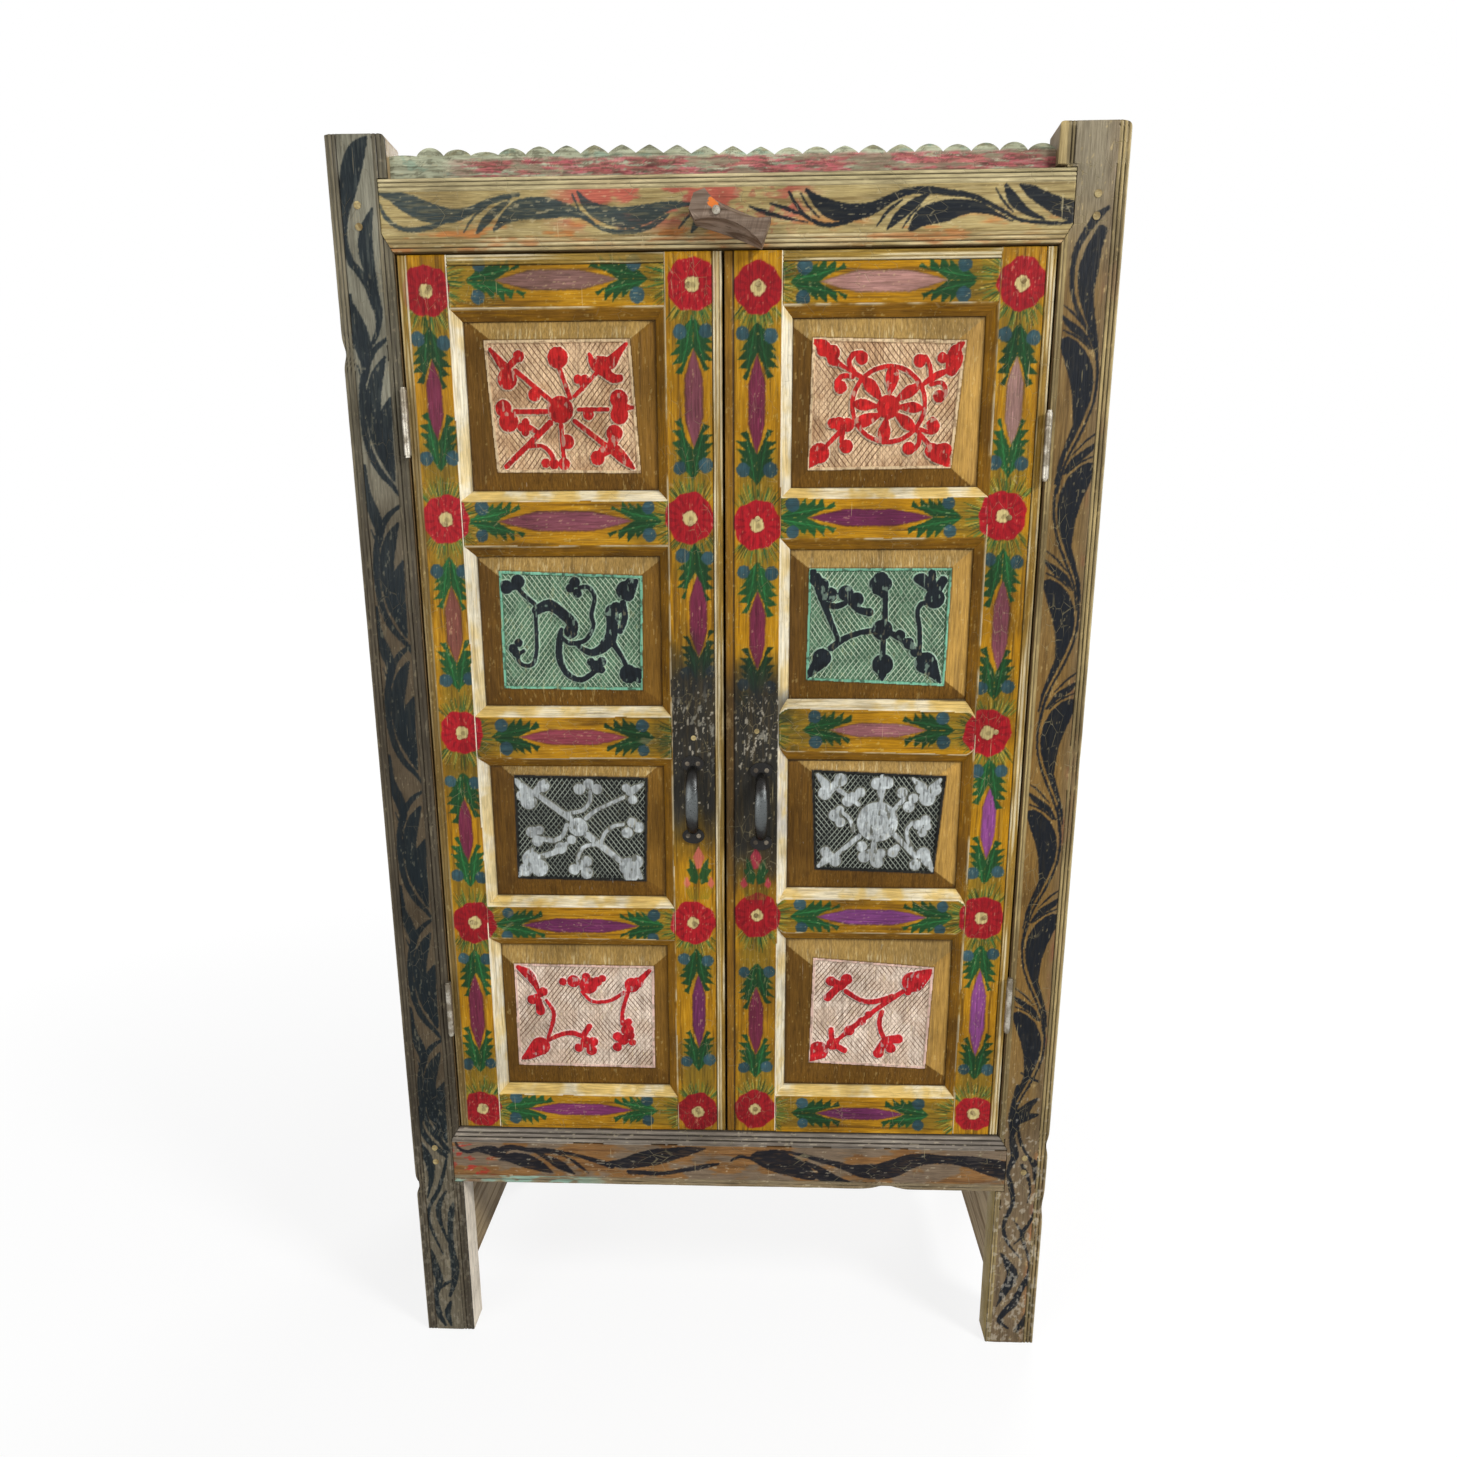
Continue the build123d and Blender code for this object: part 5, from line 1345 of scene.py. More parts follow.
def make_stile(side, which):
    """A stile of a door with its flowers, its bevel next to the panels, and its outer edge."""
    sign = SIGN[side]
    face = STILES[(side, which)]
    outer = which == "outer"
    full = (face[0] - BEVEL, face[1]) if outer else (face[0], face[1] + BEVEL)
    x_span = tuple(sorted((sign * full[0], sign * full[1])))
    seed = 31 + list(STILES).index((side, which))
    canvas = Canvas(steps_between(*x_span, PITCH), steps_between(*DOOR_Z, PITCH), seed)
    z = canvas.z
    far = np.abs(canvas.x)
    wobble = 0.9 * (clouds(z / 90, z * 0 + 2.1, seed + 4, 3) - 0.5)
    if outer:
        ramp = np.clip((face[0] + wobble - far) / BEVEL, 0, 1)
        edge = face[1] - far
    else:
        ramp = np.clip((far - face[1] - wobble) / BEVEL, 0, 1)
        edge = far - face[0]
    wood_ground(canvas, OCHRE, OCHRE_DARK, OCHRE_PALE)
    stile_flowers(canvas, side, which, x_span)
    if not outer:
        soot(canvas)
        posy(canvas, side)
    canvas.depth += BEVEL_DEPTH * ramp
    bevel_paint_and_light(canvas, ramp, "right" if outer == (side == "left") else "left", 50)
    if (side, which) == ("right", "inner"):
        groove_edge(canvas, ramp, edge)
    elif (side, which) == ("left", "outer"):
        door_beads(canvas, edge, rgb(150, 120, 56), 0.25 + 0.5 * ease(1380, 1520, z), ease(1520, 1380, z))
    else:
        door_beads(canvas, edge, rgb(150, 120, 56), 0.75)
    wear(canvas, DOOR_FLECKS, 0.38, 1.7, 6.0)
    hand_made(canvas)
    end_wear(canvas, x_span, DOOR_Z)
    name = f"{side}_door_{which}_stile"
    board = closed_board(f"{name}_painted", canvas, DOOR_Y, DOOR_BACK, rgb(112, 80, 36), DOOR_INSIDE)
    dress(board, FINISHES["stile_ochre"], f"{side}_door", "door_ochre", name)


def make_door_rail(side, index):
    """A rail of a door with its spindle and two sprays; the rails count from the bottom up."""
    sign = SIGN[side]
    face = RAIL_FACES[side][index]
    x_span = tuple(sorted((sign * STILES[(side, "inner")][1], sign * STILES[(side, "outer")][0])))
    low_bevel = index > 0
    high_bevel = index < 4
    z_span = (face[0] - BEVEL * low_bevel, face[1] + BEVEL * high_bevel)
    seed = {"left": 51, "right": 61}[side] + index
    canvas = Canvas(steps_between(*x_span, PITCH), steps_between(*z_span, PITCH), seed, False)
    x, z = canvas.x, canvas.z
    from_end = np.minimum(x - x_span[0], x_span[1] - x)
    wobble = 1.2 * (clouds(x / 80, x * 0 + 1.1, seed + 4, 3) - 0.5)
    # the ends of the right door's rails 3 and 4 are rounded, and rail 3 is tilted
    tilt = -0.018 * (x - 207) if (side, index) == ("right", 2) else 0.0
    round_end = 9 * np.clip(1 - from_end / 14, 0, 1) ** 2 if side == "right" and index in (1, 2) else 0.0
    lower = np.clip((face[0] + wobble + tilt + round_end - z) / BEVEL, 0, 1) * low_bevel
    upper = np.clip((z - face[1] - wobble - tilt + round_end) / BEVEL, 0, 1) * high_bevel
    wood_ground(canvas, OCHRE, OCHRE_DARK, OCHRE_PALE)
    start, end, across, half, colour = RAIL_SPINDLES[side][index]
    blooms = [b for b in near_rosettes((x_span[0] - 40, x_span[1] + 40), face) if abs(b[1] - across) < 40]
    spindle(canvas, start, end, across, half, colour, False, seed * 7)
    left_gap, right_gap = (28, 28) if side == "left" else (30, 22)
    left_end, right_end = x_span[0] - left_gap, x_span[1] + right_gap
    dull = 0.8 if index == 2 else 1.0
    spray(canvas, left_end, across, (1, 0), start - left_end, half, seed * 9, dull)
    spray(canvas, right_end, across, (-1, 0), right_end - end, half, seed * 11, dull)
    for bloom in blooms:
        rosette(canvas, *bloom)
    if index == 2:
        soot_band = ease(118, 76, np.abs(x)) * (0.75 if side == "right" else 0.5)
        canvas.tint(rgb(46, 48, 30), soot_band * ease(0.3, 0.6, clouds(x / 16, z / 12, 85)))
    canvas.depth += BEVEL_DEPTH * np.maximum(lower, upper)
    bevel_paint_and_light(canvas, lower, "down", 52)
    bevel_paint_and_light(canvas, upper, "up", 54)
    if index == 4:
        door_beads(canvas, DOOR_Z[1] - z, rgb(146, 122, 62), 0.7)
    canvas.depth += 1.0 * np.clip(1 - from_end / 1.6, 0, 1) ** 2
    # painted shade and a dark joint at the ends, where the rail meets the stiles
    canvas.tint(JOINT_AND_SHADE, 0.85 * ease(1.5, 0.4, from_end))
    # a pale line beside it: worn edge, lighter as a painted highlight too
    pale = ease(3.4, 2.2, from_end) * ease(1.4, 2.0, from_end)
    canvas.tint(CREAM, 0.35 * pale * ease(0.45, 0.6, clouds(x / 4, z / 8, seed)))
    wear(canvas, DOOR_FLECKS, 0.38, 1.7, 6.0)
    hand_made(canvas)
    name = f"{side}_door_{RAIL_NAMES[index]}"
    board = closed_board(f"{name}_painted", canvas, DOOR_Y, DOOR_BACK, rgb(96, 68, 32), DOOR_INSIDE, BEVEL)
    dress(board, FINISHES["rail_ochre"], f"{side}_door", "door_ochre", name)


# Carved panels. A raised shape is a disc (place and radius) or, as a list, a stroke (places and widths).


def ring(x, z, wide, high, width, count=28):
    """A closed ring as a stroke."""
    turns = [2 * math.pi * k / count for k in range(count + 1)]
    return [(x + wide * math.cos(t), z + high * math.sin(t), width) for t in turns]


CARVINGS = {
    ("left", 1): [
        (-211, 1391, 16), [(-223, 1402, 5), (-267, 1438, 5)], (-244, 1409, 7.5), (-278, 1428, 12),
        [(-279, 1440, 12), (-298, 1463, 4)], [(-275, 1443, 7), (-264, 1453, 7)], (-262, 1455, 6.5),
        [(-198, 1405, 4.5), (-210, 1440, 4.5)], (-212, 1453, 12.5), [(-192, 1407, 4), (-160, 1437, 4)],
        (-187, 1427, 5), (-178, 1427, 5), [(-182, 1424, 8), (-181, 1415, 2)],
        [(-171, 1456, 4), (-166, 1444, 9), (-154, 1437, 13), (-142, 1428, 10), (-133, 1428, 8)],
        [(-160, 1450, 8), (-146, 1446, 15), (-136, 1456, 9), (-124, 1468, 4)],
        [(-187, 1391, 4), (-150, 1391, 4)], (-175, 1385, 6.5), (-135, 1403, 11), (-135, 1384, 11),
        (-134, 1393, 9), [(-127, 1393, 8), (-118, 1393, 4)], [(-193, 1377, 5), (-155, 1348, 6)],
        (-142, 1362, 10), (-165, 1332, 8.5),
        [(-162, 1336, 10), (-147, 1344, 14), (-131, 1331, 12), (-118, 1319, 3)],
        [(-142, 1358, 12), (-147, 1344, 12)], [(-211, 1373, 4.5), (-209, 1328, 4.5)], (-204, 1352, 8.5),
        (-209, 1325, 7), [(-225, 1375, 7), (-285, 1322, 5)],
        [(-253, 1347, 4), (-237, 1347, 4), (-226, 1338, 5), (-222, 1328, 5)], (-233, 1326, 5.5),
        (-222, 1325, 6), [(-240, 1363, 5), (-256, 1372, 6)], (-257, 1376, 4.5), (-263, 1370, 4.5),
        (-258, 1364, 4.5), [(-226, 1389, 5), (-270, 1389, 5)], (-285, 1393, 10), (-279, 1377, 12),
    ],
    ("right", 1): [
        (209, 1391, 14), ring(209.5, 1394, 46, 45, 4.5), [(211, 1408, 4), (213, 1425, 16), (213, 1437, 8)],
        [(198, 1402, 5), (187, 1415, 15), (178, 1424, 6)],
        [(194, 1392, 4), (177, 1394, 13), (167, 1395, 5)],
        [(197, 1381, 5), (180, 1375, 15), (169, 1371, 6)],
        [(207, 1376, 4), (205, 1360, 15), (205, 1350, 7)],
        [(221, 1381, 5), (233, 1372, 14), (243, 1364, 6)],
        [(223, 1391, 4), (240, 1390, 12), (251, 1389, 5)],
        [(221, 1400, 5), (235, 1409, 13), (248, 1416, 5)], (126, 1460, 9), (137, 1455, 9),
        [(124, 1464, 14), (117, 1468, 8)], [(137, 1447, 12), (150, 1440, 4), (173, 1427, 5)],
        [(165, 1433, 5), (158, 1443, 5), (163, 1453, 5), (173, 1455, 5)], (174, 1449, 7.5),
        [(163, 1427, 5), (150, 1428, 5), (143, 1420, 6)], (148, 1415, 7.5),
        [(291, 1456, 14), (290, 1446, 20), (287, 1434, 14)], (275, 1448, 6),
        [(296, 1462, 8), (300, 1465, 4)], [(253, 1418, 4), (266, 1426, 8), (283, 1434, 4)],
        (247, 1445, 7.5), [(262, 1420, 4.5), (260, 1438, 4.5), (254, 1449, 5)], (273, 1403, 7),
        [(262, 1417, 4), (275, 1419, 4.5), (281, 1409, 4.5), (274, 1399, 5)], (123, 1336, 12),
        [(120, 1334, 22), (110, 1320, 4)], [(133, 1346, 4.5), (148, 1361, 5)], (148, 1371, 8),
        (139, 1372, 6), (158, 1370, 8), [(152, 1362, 6), (151, 1350, 5), (157, 1344, 6)], (157, 1344, 8),
        (267, 1338, 9), (283, 1338, 9), [(276, 1334, 24), (289, 1321, 7)], [(247, 1362, 4), (262, 1346, 5)],
        (237, 1341, 7.5), [(250, 1357, 4.5), (249, 1346, 4.5), (240, 1337, 5)], (265, 1369, 6.5),
        [(250, 1364, 4), (266, 1360, 4.5), (273, 1368, 4.5), (266, 1376, 5)],
    ],
    ("left", 2): [
        (-294, 1169, 8.5), (-278, 1176, 8.5),
        [(-286, 1168, 6), (-279, 1168, 5), (-270, 1158, 5), (-257, 1147, 5)],
        [(-255, 1138, 11), (-237, 1145, 14), (-221, 1135, 13), (-207, 1121, 14), (-209, 1110, 17)],
        [(-256, 1137, 5), (-256, 1110, 4), (-257, 1085, 4), (-262, 1068, 4.5), (-273, 1064, 4.5),
         (-282, 1070, 4.5), (-282, 1079, 4), (-275, 1084, 4)], (-289, 1087, 6), (-281, 1095, 5),
        (-285, 1081, 5),
        [(-222, 1113, 4), (-225, 1098, 8), (-226, 1073, 8), (-216, 1053, 7), (-197, 1045, 6),
         (-179, 1056, 6)], (-176, 1063, 8), (-168, 1070, 5.5), (-183, 1069, 5), (-169, 1059, 4.5),
        [(-222, 1103, 4), (-213, 1095, 5), (-200, 1095, 5), (-188, 1100, 4.5), (-178, 1117, 4.5),
         (-180, 1133, 4.5), (-175, 1155, 4.5), (-183, 1168, 4.5), (-195, 1168, 4.5)], (-201, 1175, 6.5),
        (-208, 1167, 5), (-198, 1161, 5.5),
        [(-200, 1091, 5), (-184, 1082, 8), (-168, 1087, 11), (-156, 1100, 15), (-152, 1119, 15),
         (-152, 1136, 18)], (-146, 1141, 7.5), [(-142, 1110, 6), (-135, 1128, 7), (-137, 1148, 7)],
        (-133, 1164, 12), (-126, 1172, 8), [(-130, 1160, 18), (-119, 1176, 6)],
        [(-153, 1096, 7), (-141, 1077, 5), (-135, 1064, 5)], (-132, 1053, 12), (-120, 1053, 8),
        [(-124, 1050, 14), (-117, 1043, 4)], (-163, 1094, 6),
    ],
    ("right", 2): [
        (211, 1112, 13), [(214, 1125, 6), (214, 1158, 6)], (201, 1172, 8.5), (213, 1172, 8.5),
        (207, 1177, 10), [(207, 1166, 22), (211, 1160, 12)], [(213, 1098, 6), (213, 1080, 6)],
        (213, 1066, 13.5), [(213, 1060, 18), (213, 1046, 4)],
        [(199, 1111, 6), (180, 1108, 6), (160, 1100, 7), (143, 1088, 8)], (131, 1075, 12),
        [(131, 1072, 20), (122, 1062, 14), (112, 1050, 5)],
        [(152, 1100, 5), (142, 1123, 6), (132, 1147, 8), (125, 1163, 8)], (121, 1178, 8), (130, 1171, 8),
        (117, 1187, 4.5), [(123, 1176, 14), (128, 1160, 9)], (141, 1158, 9),
        [(132, 1147, 6), (148, 1143, 7), (160, 1147, 6)], (161, 1160, 9.5), (176, 1152, 8.5),
        [(166, 1150, 7), (178, 1139, 8), (192, 1135, 8)], (193, 1135, 5),
        [(222, 1108, 7), (240, 1098, 7), (252, 1088, 7), (262, 1078, 6)], (235, 1105, 6.5), (247, 1094, 7),
        (256, 1083, 6.5), (271, 1068, 14), [(275, 1065, 24), (291, 1043, 4)],
        [(262, 1083, 5), (261, 1110, 5), (257, 1135, 5), (262, 1146, 5), (272, 1148, 5)], (279, 1153, 12.5),
        [(255, 1178, 9), (262, 1177, 15), (274, 1165, 9)], [(274, 1185, 9), (275, 1168, 10)],
        [(289, 1176, 11), (283, 1166, 12)],
    ],
    ("left", 3): [
        (-210, 837, 13), [(-222, 850, 8), (-266, 883, 6)], [(-197, 825, 9), (-152, 788, 7)],
        [(-198, 850, 6), (-180, 863, 4), (-142, 881, 4)], (-279, 874, 11), (-287, 882, 8),
        [(-278, 885, 14), (-288, 896, 10), (-297, 906, 3)], (-257, 896, 8),
        [(-270, 885, 10), (-256, 901, 8)], (-206, 892, 7.5), (-193, 899, 7), (-181, 892, 7),
        [(-191, 888, 4), (-192, 874, 4), (-202, 862, 4.5), (-216, 858, 4.5), (-229, 856, 4)],
        (-140, 894, 5.5), [(-135, 888, 10), (-127, 893, 9), (-117, 899, 3)], (-131, 877, 6),
        (-140, 829, 7.5), (-133, 844, 6.5), (-124, 837, 7.5),
        [(-146, 841, 4), (-160, 838, 4), (-172, 828, 4), (-178, 814, 4)], (-277, 829, 7.5), (-266, 832, 6),
        (-269, 816, 7.5), [(-262, 819, 6), (-246, 817, 6), (-233, 824, 5), (-226, 840, 5)], (-220, 818, 6),
        [(-228, 812, 5), (-240, 803, 8), (-252, 797, 7), (-266, 793, 6)], (-236, 806, 8), (-280, 789, 12),
        (-268, 776, 12), (-288, 773, 9), [(-282, 797, 10), (-278, 803, 5)],
        [(-286, 776, 12), (-298, 765, 4)], (-218, 774, 7.5), (-200, 786, 7.5), (-200, 769, 8),
        (-209, 779, 5), [(-212, 782, 4), (-211, 795, 4), (-202, 808, 4.5), (-188, 811, 4)],
        (-140, 779, 12.5), (-128, 786, 9), (-136, 768, 11), [(-130, 774, 12), (-122, 763, 5)],
    ],
    ("right", 3): [
        (213, 847, 28), (211, 902, 8), (225, 903, 8), [(218, 900, 12), (218, 912, 5)],
        [(217, 897, 12), (217, 876, 4)], (139, 888, 9), (160, 907, 8.5), [(140, 900, 12), (128, 914, 4)],
        [(145, 892, 12), (158, 905, 10)], [(155, 895, 5), (170, 884, 5), (186, 872, 5)], (171, 877, 7.5),
        (188, 889, 6.5), (178, 882, 7), (153, 856, 8), (160, 864, 5.5), (161, 846, 6.5),
        [(164, 860, 4), (174, 851, 4), (180, 834, 4)], [(188, 826, 6), (150, 793, 5)], (141, 803, 7),
        (155, 790, 8), [(147, 796, 14), (132, 782, 4)], (196, 796, 8), (214, 789, 8.5), (219, 801, 6.5),
        (206, 800, 8), [(209, 795, 12), (209, 818, 5)], (192, 811, 7), (236, 803, 7), (241, 809, 5),
        [(238, 828, 6), (268, 797, 6)], (279, 801, 9), (268, 785, 7.5), [(281, 796, 16), (293, 777, 4)],
        (270, 843, 6.5), (280, 850, 6.5), (276, 832, 6), (283, 841, 5),
        [(262, 846, 4), (255, 836, 4), (256, 822, 4), (262, 808, 4)], (272, 896, 7.5), (291, 894, 8.5),
        (281, 882, 11), [(270, 900, 9), (260, 909, 3)], [(291, 899, 9), (298, 908, 3)], (246, 889, 7),
        (256, 869, 7.5), (262, 881, 6.5), [(249, 880, 5), (240, 870, 5), (233, 862, 5)],
    ],
    ("left", 4): [
        [(-307, 623, 6), (-294, 613, 14), (-284, 598, 9), (-279, 585, 5)], (-272, 585, 6.5), (-289, 572, 7),
        [(-280, 572, 9), (-277, 554, 13)], [(-284, 576, 8), (-272, 582, 6)],
        [(-268, 571, 4), (-258, 553, 5), (-260, 535, 5), (-268, 510, 4)], (-280, 497, 14),
        [(-283, 495, 26), (-297, 483, 14), (-307, 477, 5)],
        [(-267, 507, 5), (-249, 516, 6), (-232, 519, 7), (-216, 514, 7)], [(-215, 514, 8), (-205, 530, 8)],
        (-211, 504, 8.5), (-200, 505, 7), (-222, 495, 6.5), (-203, 491, 7.5), (-242, 601, 5.5),
        (-226, 602, 9), (-204, 596, 13), (-207, 609, 6), (-191, 602, 7), (-183, 607, 5),
        [(-214, 585, 4), (-202, 572, 4.5), (-188, 569, 4.5), (-170, 573, 4.5), (-151, 585, 4.5)],
        (-139, 597, 11), (-131, 601, 8), [(-128, 604, 9), (-113, 620, 5)],
        [(-145, 586, 5), (-154, 557, 5), (-155, 535, 6)], (-148, 525, 9), (-163, 514, 7), (-155, 509, 8),
        (-164, 497, 6.5), (-141, 505, 5), (-146, 538, 5), (-144, 516, 6),
    ],
    ("right", 4): [
        (272, 607, 15), [(275, 607, 30), (288, 617, 18), (297, 625, 4)], [(268, 597, 14), (266, 590, 8)],
        [(259, 592, 6), (241, 579, 7), (223, 565, 6), (206, 550, 6), (188, 535, 7), (168, 516, 5)],
        (182, 529, 7.5), (200, 544, 6), (210, 555, 5),
        [(244, 584, 7), (224, 577, 7), (209, 575, 7), (194, 579, 6), (176, 591, 7)], (153, 607, 7),
        (176, 610, 8), [(166, 599, 9), (149, 581, 11)], [(168, 600, 10), (153, 607, 12)],
        [(168, 598, 10), (176, 610, 13)], [(229, 559, 6), (226, 544, 6), (229, 527, 6), (235, 516, 6)],
        [(238, 516, 8), (254, 516, 14)], [(237, 514, 8), (244, 501, 14)], [(233, 513, 7), (226, 493, 15)],
        (158, 507, 9), [(157, 508, 7), (155, 530, 7)], [(160, 506, 7), (175, 497, 9)],
        [(165, 513, 7), (158, 508, 9)], (137, 496, 14), [(137, 494, 26), (123, 481, 7)],
    ],
}
# The corners of each carved field, from the upper left clockwise
FIELDS = {
    ("left", 1): ((-306, 1474), (-119, 1474), (-109, 1313), (-297, 1315)),
    ("right", 1): ((112, 1473), (304, 1468), (292, 1317), (108, 1315)),
    ("left", 2): ((-303, 1190), (-110, 1183), (-113, 1031), (-304, 1033)),
    ("right", 2): ((112, 1192), (300, 1192), (297, 1037), (110, 1045)),
    ("left", 3): ((-298, 912), (-109, 909), (-114, 757), (-300, 760)),
    ("right", 3): ((120, 921), (306, 913), (295, 772), (126, 777)),
    ("left", 4): ((-313, 629), (-106, 627), (-108, 464), (-314, 466)),
    ("right", 4): ((127, 643), (302, 630), (296, 469), (123, 477)),
}
# The paints of the four panels of a door, from the top down; their side slopes are painted in panel_slopes
LOOKS = {
    1: {"slot": "panel_warm",
        "ground": rgb(228, 194, 154), "ground_dark": rgb(194, 154, 114), "raised": rgb(182, 26, 26),
        "rim": rgb(238, 220, 190), "frame": rgb(222, 196, 158)},
    2: {"slot": "panel_green",
        "ground": rgb(88, 122, 95), "ground_dark": rgb(63, 92, 70), "raised": rgb(20, 26, 32),
        "rim": rgb(176, 206, 182), "frame": rgb(120, 186, 158)},
    3: {"slot": "panel_black",
        "ground": rgb(22, 24, 23), "ground_dark": rgb(11, 13, 13), "raised": rgb(176, 182, 182),
        "rim": rgb(112, 112, 98), "frame": rgb(30, 32, 32)},
    4: {"slot": "panel_warm",
        "ground": rgb(242, 222, 202), "ground_dark": rgb(220, 194, 170), "raised": rgb(188, 26, 34),
        "rim": rgb(244, 226, 214), "frame": rgb(232, 196, 184)},
}


def raised_distance(canvas, shapes):
    """Distance from the raised shapes of a carving; 60 where none is near."""
    best = np.full(canvas.x.shape, 60.0)
    for shape in shapes:
        line = curve(shape) if isinstance(shape, list) else [(shape[0], shape[1], shape[2] * 2)] * 2
        at = canvas.near_line(line, 6)
        best[at] = np.minimum(best[at], to_line(canvas.x[at], canvas.z[at], line))
    return best


def painted_shadow_distance(canvas, shapes):
    """Distance from the raised shapes moved down and to the left, where their painted shadow falls on the
    ground.
    """
    return raised_distance(Canvas(canvas.xs + 2.0, canvas.zs + 2.2, canvas.seed), shapes)


def field_steps(span, field):
    """Steps across a panel that are finer over its carved field."""
    return np.concatenate([steps_between(span[0], field[0], PITCH)[:-1], steps_between(*field, FIELD_PITCH),
                           steps_between(field[1], span[1], PITCH)[1:]])


def panel_slopes(canvas, side, corners, outside, slope):
    """The paint of the four slopes round a field, with light and shade painted in by the way each slope
    faces; gives the scrapes across them.
    """
    x, z = canvas.x, canvas.z
    (ax, az), (bx, bz), (cx, cz), (dx, dz) = corners
    facing = np.stack([
        (np.maximum(ax, dx) - x) / 27,
        (x - np.minimum(bx, cx)) / 27,
        (z - np.minimum(az, bz)) / 21,
        (np.maximum(cz, dz) - z) / 21,
    ]).argmax(0)
    wood_ground(canvas, rgb(148, 104, 28), rgb(92, 62, 18), rgb(178, 134, 52))
    # painted light: the upper slope is lighter as a painted highlight and the left and lower ones darker as
    # painted shade; the right one is lighter on the right door and darker on the left door, where it lies in
    # the painted shadow of the stile
    paints = (
        (rgb(88, 60, 18), 0.7),
        (rgb(112, 80, 28), 0.65) if side == "left" else (rgb(206, 168, 98), 0.6),
        (rgb(178, 154, 104), 0.6),
        (rgb(94, 64, 20), 0.65),
    )
    for number, (colour, amount) in enumerate(paints):
        canvas.tint(colour, amount * (facing == number) * (outside > 0))
    scrape = canvas.streaks(1.7, 14, 27)
    upper_slope = (facing == 2) * (outside > 0) * ease(24, 4, outside)
    canvas.tint(rgb(222, 204, 160), 0.6 * ease(0.6, 0.72, scrape) * upper_slope)
    # painted shade, with grime, at the foot of the slopes under the bevels
    canvas.tint(rgb(60, 42, 20), 0.75 * ease(0.84, 1.0, slope))
    canvas.tint(rgb(70, 48, 22), 0.5 * ease(2.4, 0.3, outside) * (outside > 0))
    return scrape


def carved_field(canvas, side, row, inside):
    """The paint of a carved field and the cut of its ground; gives how deep the ground lies, from 0 to 1."""
    x, z, seed = canvas.x, canvas.z, canvas.seed
    look = LOOKS[row]
    shapes = CARVINGS[(side, row)]
    distance = raised_distance(canvas, shapes) + 1.1 * canvas.ragged - 0.7
    on_field = inside > 0
    strip = 3.2 + 1.2 * (clouds(x / 20, z / 20, seed + 6) - 0.5)
    ground = on_field & (inside > strip)
    drop = np.clip((distance + 0.2) / 0.9, 0, 1) * np.clip((inside - strip) / 0.9, 0, 1)
    if (side, row) == ("right", 3):
        # two grooves in the large disc
        turn = np.hypot(x - 213, z - 847)
        drop = np.maximum(drop, 0.35 * bump_at(turn, 19, 1.4) + 0.35 * bump_at(turn, 10, 1.3))
    patchy = clouds(x / 24, z / 24, seed + 7)
    fine = clouds(x / 3, z / 9, seed + 8)
    canvas.tint(look["frame"], 0.95 * on_field * (inside <= strip + 0.6))
    chipped = ease(0.56, 0.66, clouds(x / 6, z / 6, seed + 9)) * on_field * (inside <= strip + 0.4)
    canvas.tint(look["ground_dark"] * 0.7, 0.6 * chipped)
    canvas.tint(look["ground"], 1.0 * ground)
    canvas.tint(look["ground_dark"], 0.75 * ground * ease(0.42, 0.68, patchy))
    canvas.tint(look["ground_dark"] * 0.75, 0.45 * ground * ease(0.5, 0.75, fine))
    canvas.cut = ground * ease(0.4, 1.4, distance) * ease(0.2, 1.2, inside - strip)
    # painted shadow of the raised shapes, down and to the left of them
    canvas.tint(look["ground_dark"] * 0.42, 0.8 * ground * ease(1.6, -0.8, painted_shadow_distance(canvas, shapes)))
    rim = ground * ease(2.1, 1.1, distance) * ease(0.16, 0.36, clouds(x / 5, z / 5, seed + 10))
    canvas.tint(look["rim"], 0.95 * rim)
    raised = ease(0.25, -0.4, distance) * on_field * (inside > strip * 0.4)
    canvas.tint(look["raised"], 0.97 * raised)
    canvas.tint(np.clip(look["raised"] * 0.62, 0, 1), 0.6 * raised * ease(0.5, 0.72, fine))
    bright = ease(0.55, 0.75, clouds(x / 8, z / 8, seed + 11))
    canvas.tint(np.clip(look["raised"] * 1.25 + 0.03, 0, 1), 0.5 * raised * bright)
    bald = ease(0.68, 0.74, clouds(x / 5, z / 11, seed + 12)) * raised
    canvas.tint(look["rim"] * 0.8, 0.7 * bald)
    return drop


